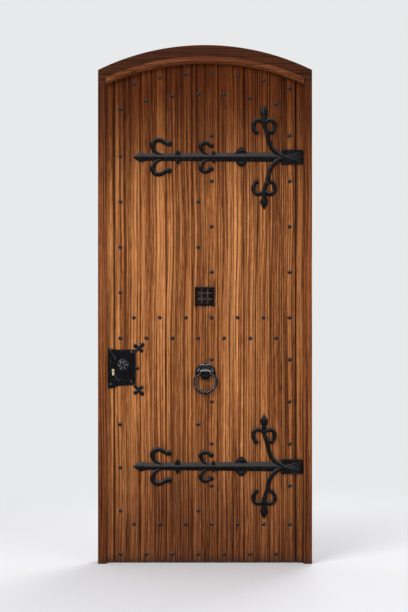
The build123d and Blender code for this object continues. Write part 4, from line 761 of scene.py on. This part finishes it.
def make_knocker_mask():
    """Lion mask over its open mouth, with the lug that carries the ring, the jaw, beard and teeth."""
    bm = bmesh.new()
    for vert in bmesh.ops.create_grid(bm, x_segments=72, y_segments=32, size=1)["verts"]:
        turn, out = vert.co.x * FACE_TURN, (vert.co.y + 1) / 2
        reach = MOUTH_EDGE + out * (CHEEK_REACH + CROWN_REACH * cos(turn) ** 1.2 - MOUTH_EDGE)
        x, y = reach * sin(turn), LIP_CENTRE + reach * cos(turn)
        vert.co = Vector((x, y, mask_height(x, y, reach))) / 1000
    drop_walls(bm)
    add_cone(bm, 24, 0.0090, 0.0090, 0.020, (0, 0, PIVOT_STAND), "Y")
    for size, place in (
        ((0.020, 0.020, 0.016), (0, 0.001, 0.008)),
        ((0.034, 0.0245, 0.013), (0, -0.02175, 0.0065)),
    ):
        bevel(bm, edges_of(add_block(bm, size, place)), 0.002)
    for number in range(-2, 3):
        add_ball(bm, 10, 8, 0.0036, (number * 0.0068, -0.0215, 0.0132), (0.9, 3.2, 1))
    for number in range(-4, 5):
        turn = number * TEETH_STEP
        place = (TEETH_RADIUS * sin(turn), LIP_CENTRE / 1000 + TEETH_RADIUS * cos(turn), 0.0065)
        add_cone(bm, 6, 0.0026, 0.0010, 0.009, place, "X")
    add_ball(bm, 12, 8, 0.0042, (0, 0.0265, 0.020))
    back = add_cone(bm, 48, 1, 0.96, 0.005)
    bmesh.ops.scale(bm, vec=(0.0455, 0.0355, 1), verts=back)
    bmesh.ops.translate(bm, vec=(0, FACE_MIDDLE / 1000, 0.0025), verts=back)
    hang(bm, "lion_mask", KNOCKER, cast, "leaf", "cast_iron", "knocker_mask", sharp=60)


def make_mask_highlights():
    """Lip, brows and folds of the cheeks, as thin bars of painted highlight."""
    bm = bmesh.new()
    lip = [(-0.0250, 0.0058), (-0.0140, 0.0100), (0, 0.0117), (0.0140, 0.0100), (0.0250, 0.0058)]
    raise_bar(bm, lip, (0.85, 0.53), 0.0034, 0.0040, 0.0262, 0.85, 0.8)
    for side in (-1, 1):
        brow = [(side * 0.0045, 0.0355), (side * 0.0130, 0.0400), (side * 0.0235, 0.0350)]
        raise_bar(bm, brow, (side * 0.8, 0.6), 0.0020, 0.0030, 0.0185, 0.7, 0.9)
        cheek = [(side * 0.0270, 0.0210), (side * 0.0345, 0.0130), (side * 0.0380, 0.0030)]
        raise_bar(bm, cheek, (side * 0.8, -0.4), 0.0018, 0.0030, 0.0125, 0.6, 0.8)
    hang(bm, "mask_lip_and_brows", KNOCKER, highlight_iron, "leaf", "cast_iron", sharp=60)


make_knocker_ring()
make_knocker_mask()
make_mask_highlights()


# Lock plate with its raised middle, rivets, curls and sprigs

PLATE_LEFT = -0.4735
PLATE_RIGHT = -0.3375
PLATE_TOP = 1.047
PLATE_FOOT = 0.852
SPRIG_LEAF = [
    (0, 0.0050, 0.003, 0.0050), (0.35, 0.0082, 0.0035, 0.0066), (0.68, 0.0105, 0.0035, 0.0068),
    (0.9, 0.0072, 0.003, 0.0050), (1, 0.0022, 0.002, 0.0028),
]


def wear(verts):
    """Second finish for the faces of some vertices."""
    for vert in verts:
        for surface in vert.link_faces:
            surface.material_index = 1


def draw_leaf(bm, start, run, width):
    """Leaf of a sprig, along a run and with a share of the full width."""
    stations = [(share * run.length, half * width, edge, ridge) for share, half, edge, ridge in SPRIG_LEAF]
    draw_bar(bm, (start[0], start[1], 0), run, stations, 0.0006)


def make_lock_plate():
    """Hammered plate with a raised middle, rivets, scratched curls and three-leaved sprigs."""
    bm = bmesh.new()
    for vert in bmesh.ops.create_grid(bm, x_segments=28, y_segments=8, size=1)["verts"]:
        across, up = (vert.co.x + 1) / 2, (vert.co.y + 1) / 2
        rise = min(1.0, max(0.0, (across - 0.16) / 0.26))
        high = PLATE_TOP - 0.006 * min(1.0, 3 * across)
        low = PLATE_FOOT + 0.010 * rise**2 * (3 - 2 * rise) + 0.006 * across
        fold = 0.0014 if 0.1 < across < 0.74 else 0.0
        x = PLATE_LEFT + across * (PLATE_RIGHT - PLATE_LEFT)
        vert.co = Vector((x, low + up * (high - low), 0.0030 + fold))
    close_ring(bm, drop_walls(bm))
    for in_from_left, y in (
        (0.012, PLATE_TOP - 0.010), (0.114, PLATE_TOP - 0.018),
        (0.014, PLATE_FOOT + 0.020), (0.114, PLATE_FOOT + 0.034),
    ):
        wear(add_ball(bm, 12, 6, 0.0062, (PLATE_LEFT + in_from_left, y, 0.0038), (1, 1, 0.55)))
    for route, heading in (
        ([(-0.458, 1.028), (-0.444, 1.010), (-0.436, 0.988)], (0.6, -0.8)),
        ([(-0.436, 0.916), (-0.431, 0.900), (-0.418, 0.890)], (0, -1)),
    ):
        known = set(bm.verts)
        bend_bar(bm, route, heading, half=0.0028, rise=0.0030, thin=0.6, corners=8)
        curl = fresh_verts(bm, known)
        bmesh.ops.translate(bm, vec=(0, 0, 0.0040), verts=curl)
        wear(curl)
    for root, node, tips in (
        ((-0.352, 1.024), (-0.324, 1.048), ((-0.297, 1.072), (-0.347, 1.066), (-0.303, 1.030))),
        ((-0.352, 0.874), (-0.325, 0.845), ((-0.299, 0.818), (-0.347, 0.824), (-0.303, 0.863))),
    ):
        for start, end, width in ((root, node, 0.8),) + tuple((node, tip, 1.0) for tip in tips):
            draw_leaf(bm, start, Vector((end[0] - start[0], end[1] - start[1], 0)), width)
        for vert in add_ball(bm, 12, 6, 0.0082, (node[0], node[1], 0.001), (1, 1, 0.85)):
            vert.co.z = max(vert.co.z, 0)
    draw_leaf(bm, (PLATE_RIGHT - 0.004, 0.950), Vector((0.020, 0, 0)), 0.8)
    names = ("leaf", "black_iron", "lock_plate")
    piece = hang(bm, "lock_plate_with_sprigs", (0, LEAF_FACE, 0), wrought, *names, sharp=35)
    piece.data.materials.append(worn)


make_lock_plate()


# Pull knob on the lock plate: rose and a head of twisted lobes, in millimetres and degrees

LOBES = 6
LOBE_CORNERS = 8
CREST_CORNERS = 2
LOBE_DEPTH = 0.17
HEAD_RINGS = 12
RING_TURN = 6.5
# Height, radius and turn of each ring of the rose and the neck
ROSE_AND_NECK = [
    (0, 29, 0), (3, 28.4, 0), (4.2, 26, 0), (5.5, 14, 0), (7, 9.6, 0), (12, 8.6, 0), (17, 9.4, 0),
]


def make_pull_knob():
    """Cast knob: a ring extruded outwards, step by step, and turned as it goes."""
    bm = bmesh.new()
    ring = bmesh.ops.create_circle(bm, segments=LOBE_CORNERS * LOBES, radius=1)["verts"]
    edges = edges_of(ring)
    crests = set()
    steps = list(ROSE_AND_NECK)
    for number in range(HEAD_RINGS + 1):
        swing = number / HEAD_RINGS * pi
        radius = max(5.0, 8 + 17 * sin(swing) ** 0.8)
        steps.append((18 + 13 * (1 - cos(swing)), radius, number * RING_TURN))
    for number, (height, radius, twist) in enumerate(steps):
        if number:
            ring, edges = draw_out(bm, ring, edges)
        lobe = LOBE_DEPTH if twist else 0.0
        for index, vert in enumerate(ring):
            angle = 2 * pi * index / len(ring)
            reach = radius * (1 - lobe * (1 - cos(LOBES * angle)) / 2)
            turn = angle + radians(twist)
            vert.co = Vector((reach * cos(turn), reach * sin(turn), height)) / 1000
            if twist and index % LOBE_CORNERS < CREST_CORNERS:
                crests.add(vert)
        if number == 0:
            close_ring(bm, edges)
    close_ring(bm, edges)
    # Painted highlight: faces along the crests of the lobes get the light grey iron
    for surface in bm.faces:
        on_crest = len(surface.verts) == 4 and all(vert in crests for vert in surface.verts)
        surface.material_index = int(on_crest)
    names = ("leaf", "black_iron", "pull_knob_outside")
    piece = hang(bm, "twisted_pull_knob", KNOB, handled, *names, sharp=50)
    piece.data.materials.append(highlight_iron)


make_pull_knob()


# Floor, plain surroundings, lights and camera

PLAIN = colour(232, 233, 235)
PICTURE_WIDTH, PICTURE_HEIGHT = 408, 612
PIXEL = 0.00488
DOOR_COLUMN = 205
SILL_ROW = 561.5
PICTURE_LIFT = 0.007
EYE_X = -0.03
EYE_HEIGHT = 1.06
EYE_DISTANCE = 5.5


def make_floor():
    """Wide pale floor that runs into the plain background."""
    bm = bmesh.new()
    bmesh.ops.create_circle(bm, cap_ends=True, segments=96, radius=40)
    mesh = bpy.data.meshes.new("pale_floor")
    bm.to_mesh(mesh)
    bm.free()
    material, tree, shader, place = new_material("pale_floor")
    shader.inputs["Base Color"].default_value = colour(226, 226, 228)
    shader.inputs["Roughness"].default_value = 0.9
    plain = add_node(tree, "ShaderNodeEmission", {"Color": PLAIN})
    seen = add_node(tree, "ShaderNodeLightPath").outputs["Is Camera Ray"]
    away = vectors(tree, "LENGTH", place)["Value"]
    mixed = add_node(tree, "ShaderNodeMixShader", {0: times(tree, seen, fade(tree, away, 1.0, 3.4))})
    tree.links.new(shader.outputs[0], mixed.inputs[1])
    tree.links.new(plain.outputs[0], mixed.inputs[2])
    tree.links.new(mixed.outputs[0], tree.nodes["Material Output"].inputs["Surface"])
    mesh.materials.append(material)
    floor = bpy.data.objects.new("pale_floor", mesh)
    bpy.context.scene.collection.objects.link(floor)


def make_light(name, place, target, size, power):
    """Soft square lamp aimed at a point."""
    lamp = bpy.data.lights.new(name, "AREA")
    lamp.shape = "SQUARE"
    lamp.size = size
    lamp.energy = power
    holder = bpy.data.objects.new(name, lamp)
    holder.location = place
    holder.rotation_euler = (Vector(target) - Vector(place)).to_track_quat("-Z", "Y").to_euler()
    bpy.context.scene.collection.objects.link(holder)


def make_world():
    """Even daylight on the door, and the plain background where the camera or a reflection sees it."""
    world = bpy.data.worlds.new("daylight")
    bpy.context.scene.world = world
    world.use_nodes = True
    tree = world.node_tree
    sky = tree.nodes["Background"]
    sky.inputs["Color"].default_value = colour(240, 241, 245)
    sky.inputs["Strength"].default_value = 0.62
    plain = add_node(tree, "ShaderNodeBackground", {"Color": PLAIN, "Strength": 1.0})
    rays = add_node(tree, "ShaderNodeLightPath").outputs
    seen = sums(tree, "MAXIMUM", rays["Is Camera Ray"], rays["Is Glossy Ray"])
    seen = sums(tree, "MAXIMUM", seen, rays["Is Transmission Ray"])
    mixed = add_node(tree, "ShaderNodeMixShader", {0: seen})
    tree.links.new(sky.outputs[0], mixed.inputs[1])
    tree.links.new(plain.outputs[0], mixed.inputs[2])
    tree.links.new(mixed.outputs[0], tree.nodes["World Output"].inputs["Surface"])


def make_camera():
    """Camera in front of the door, its picture shifted to frame the door as the photo does."""
    view = bpy.data.cameras.new("street_view")
    height = PICTURE_HEIGHT * PIXEL
    view.sensor_fit = "VERTICAL"
    view.sensor_height = 24
    view.lens = view.sensor_height * EYE_DISTANCE / height
    middle_x = (PICTURE_WIDTH / 2 - DOOR_COLUMN) * PIXEL
    middle_z = (SILL_ROW - PICTURE_HEIGHT / 2) * PIXEL + PICTURE_LIFT
    view.shift_x = (middle_x - EYE_X) / height
    view.shift_y = (middle_z - EYE_HEIGHT) / height
    holder = bpy.data.objects.new("street_view", view)
    holder.location = (EYE_X, LEAF_FACE - EYE_DISTANCE, EYE_HEIGHT)
    holder.rotation_euler = (QUARTER, 0, 0)
    bpy.context.scene.collection.objects.link(holder)
    bpy.context.scene.camera = holder


make_floor()
make_world()
make_light("window_light", (-2.6, -3.6, 4.4), (0, 0, 1.3), 2.6, 190)
make_light("fill_light", (3.2, -4.2, 2.0), (0, 0, 1.2), 3.0, 60)
make_light("inside_light", (1.5, 3.4, 3.4), (0, 0, 1.3), 2.6, 110)
make_camera()
bpy.context.scene.view_settings.view_transform = "Standard"
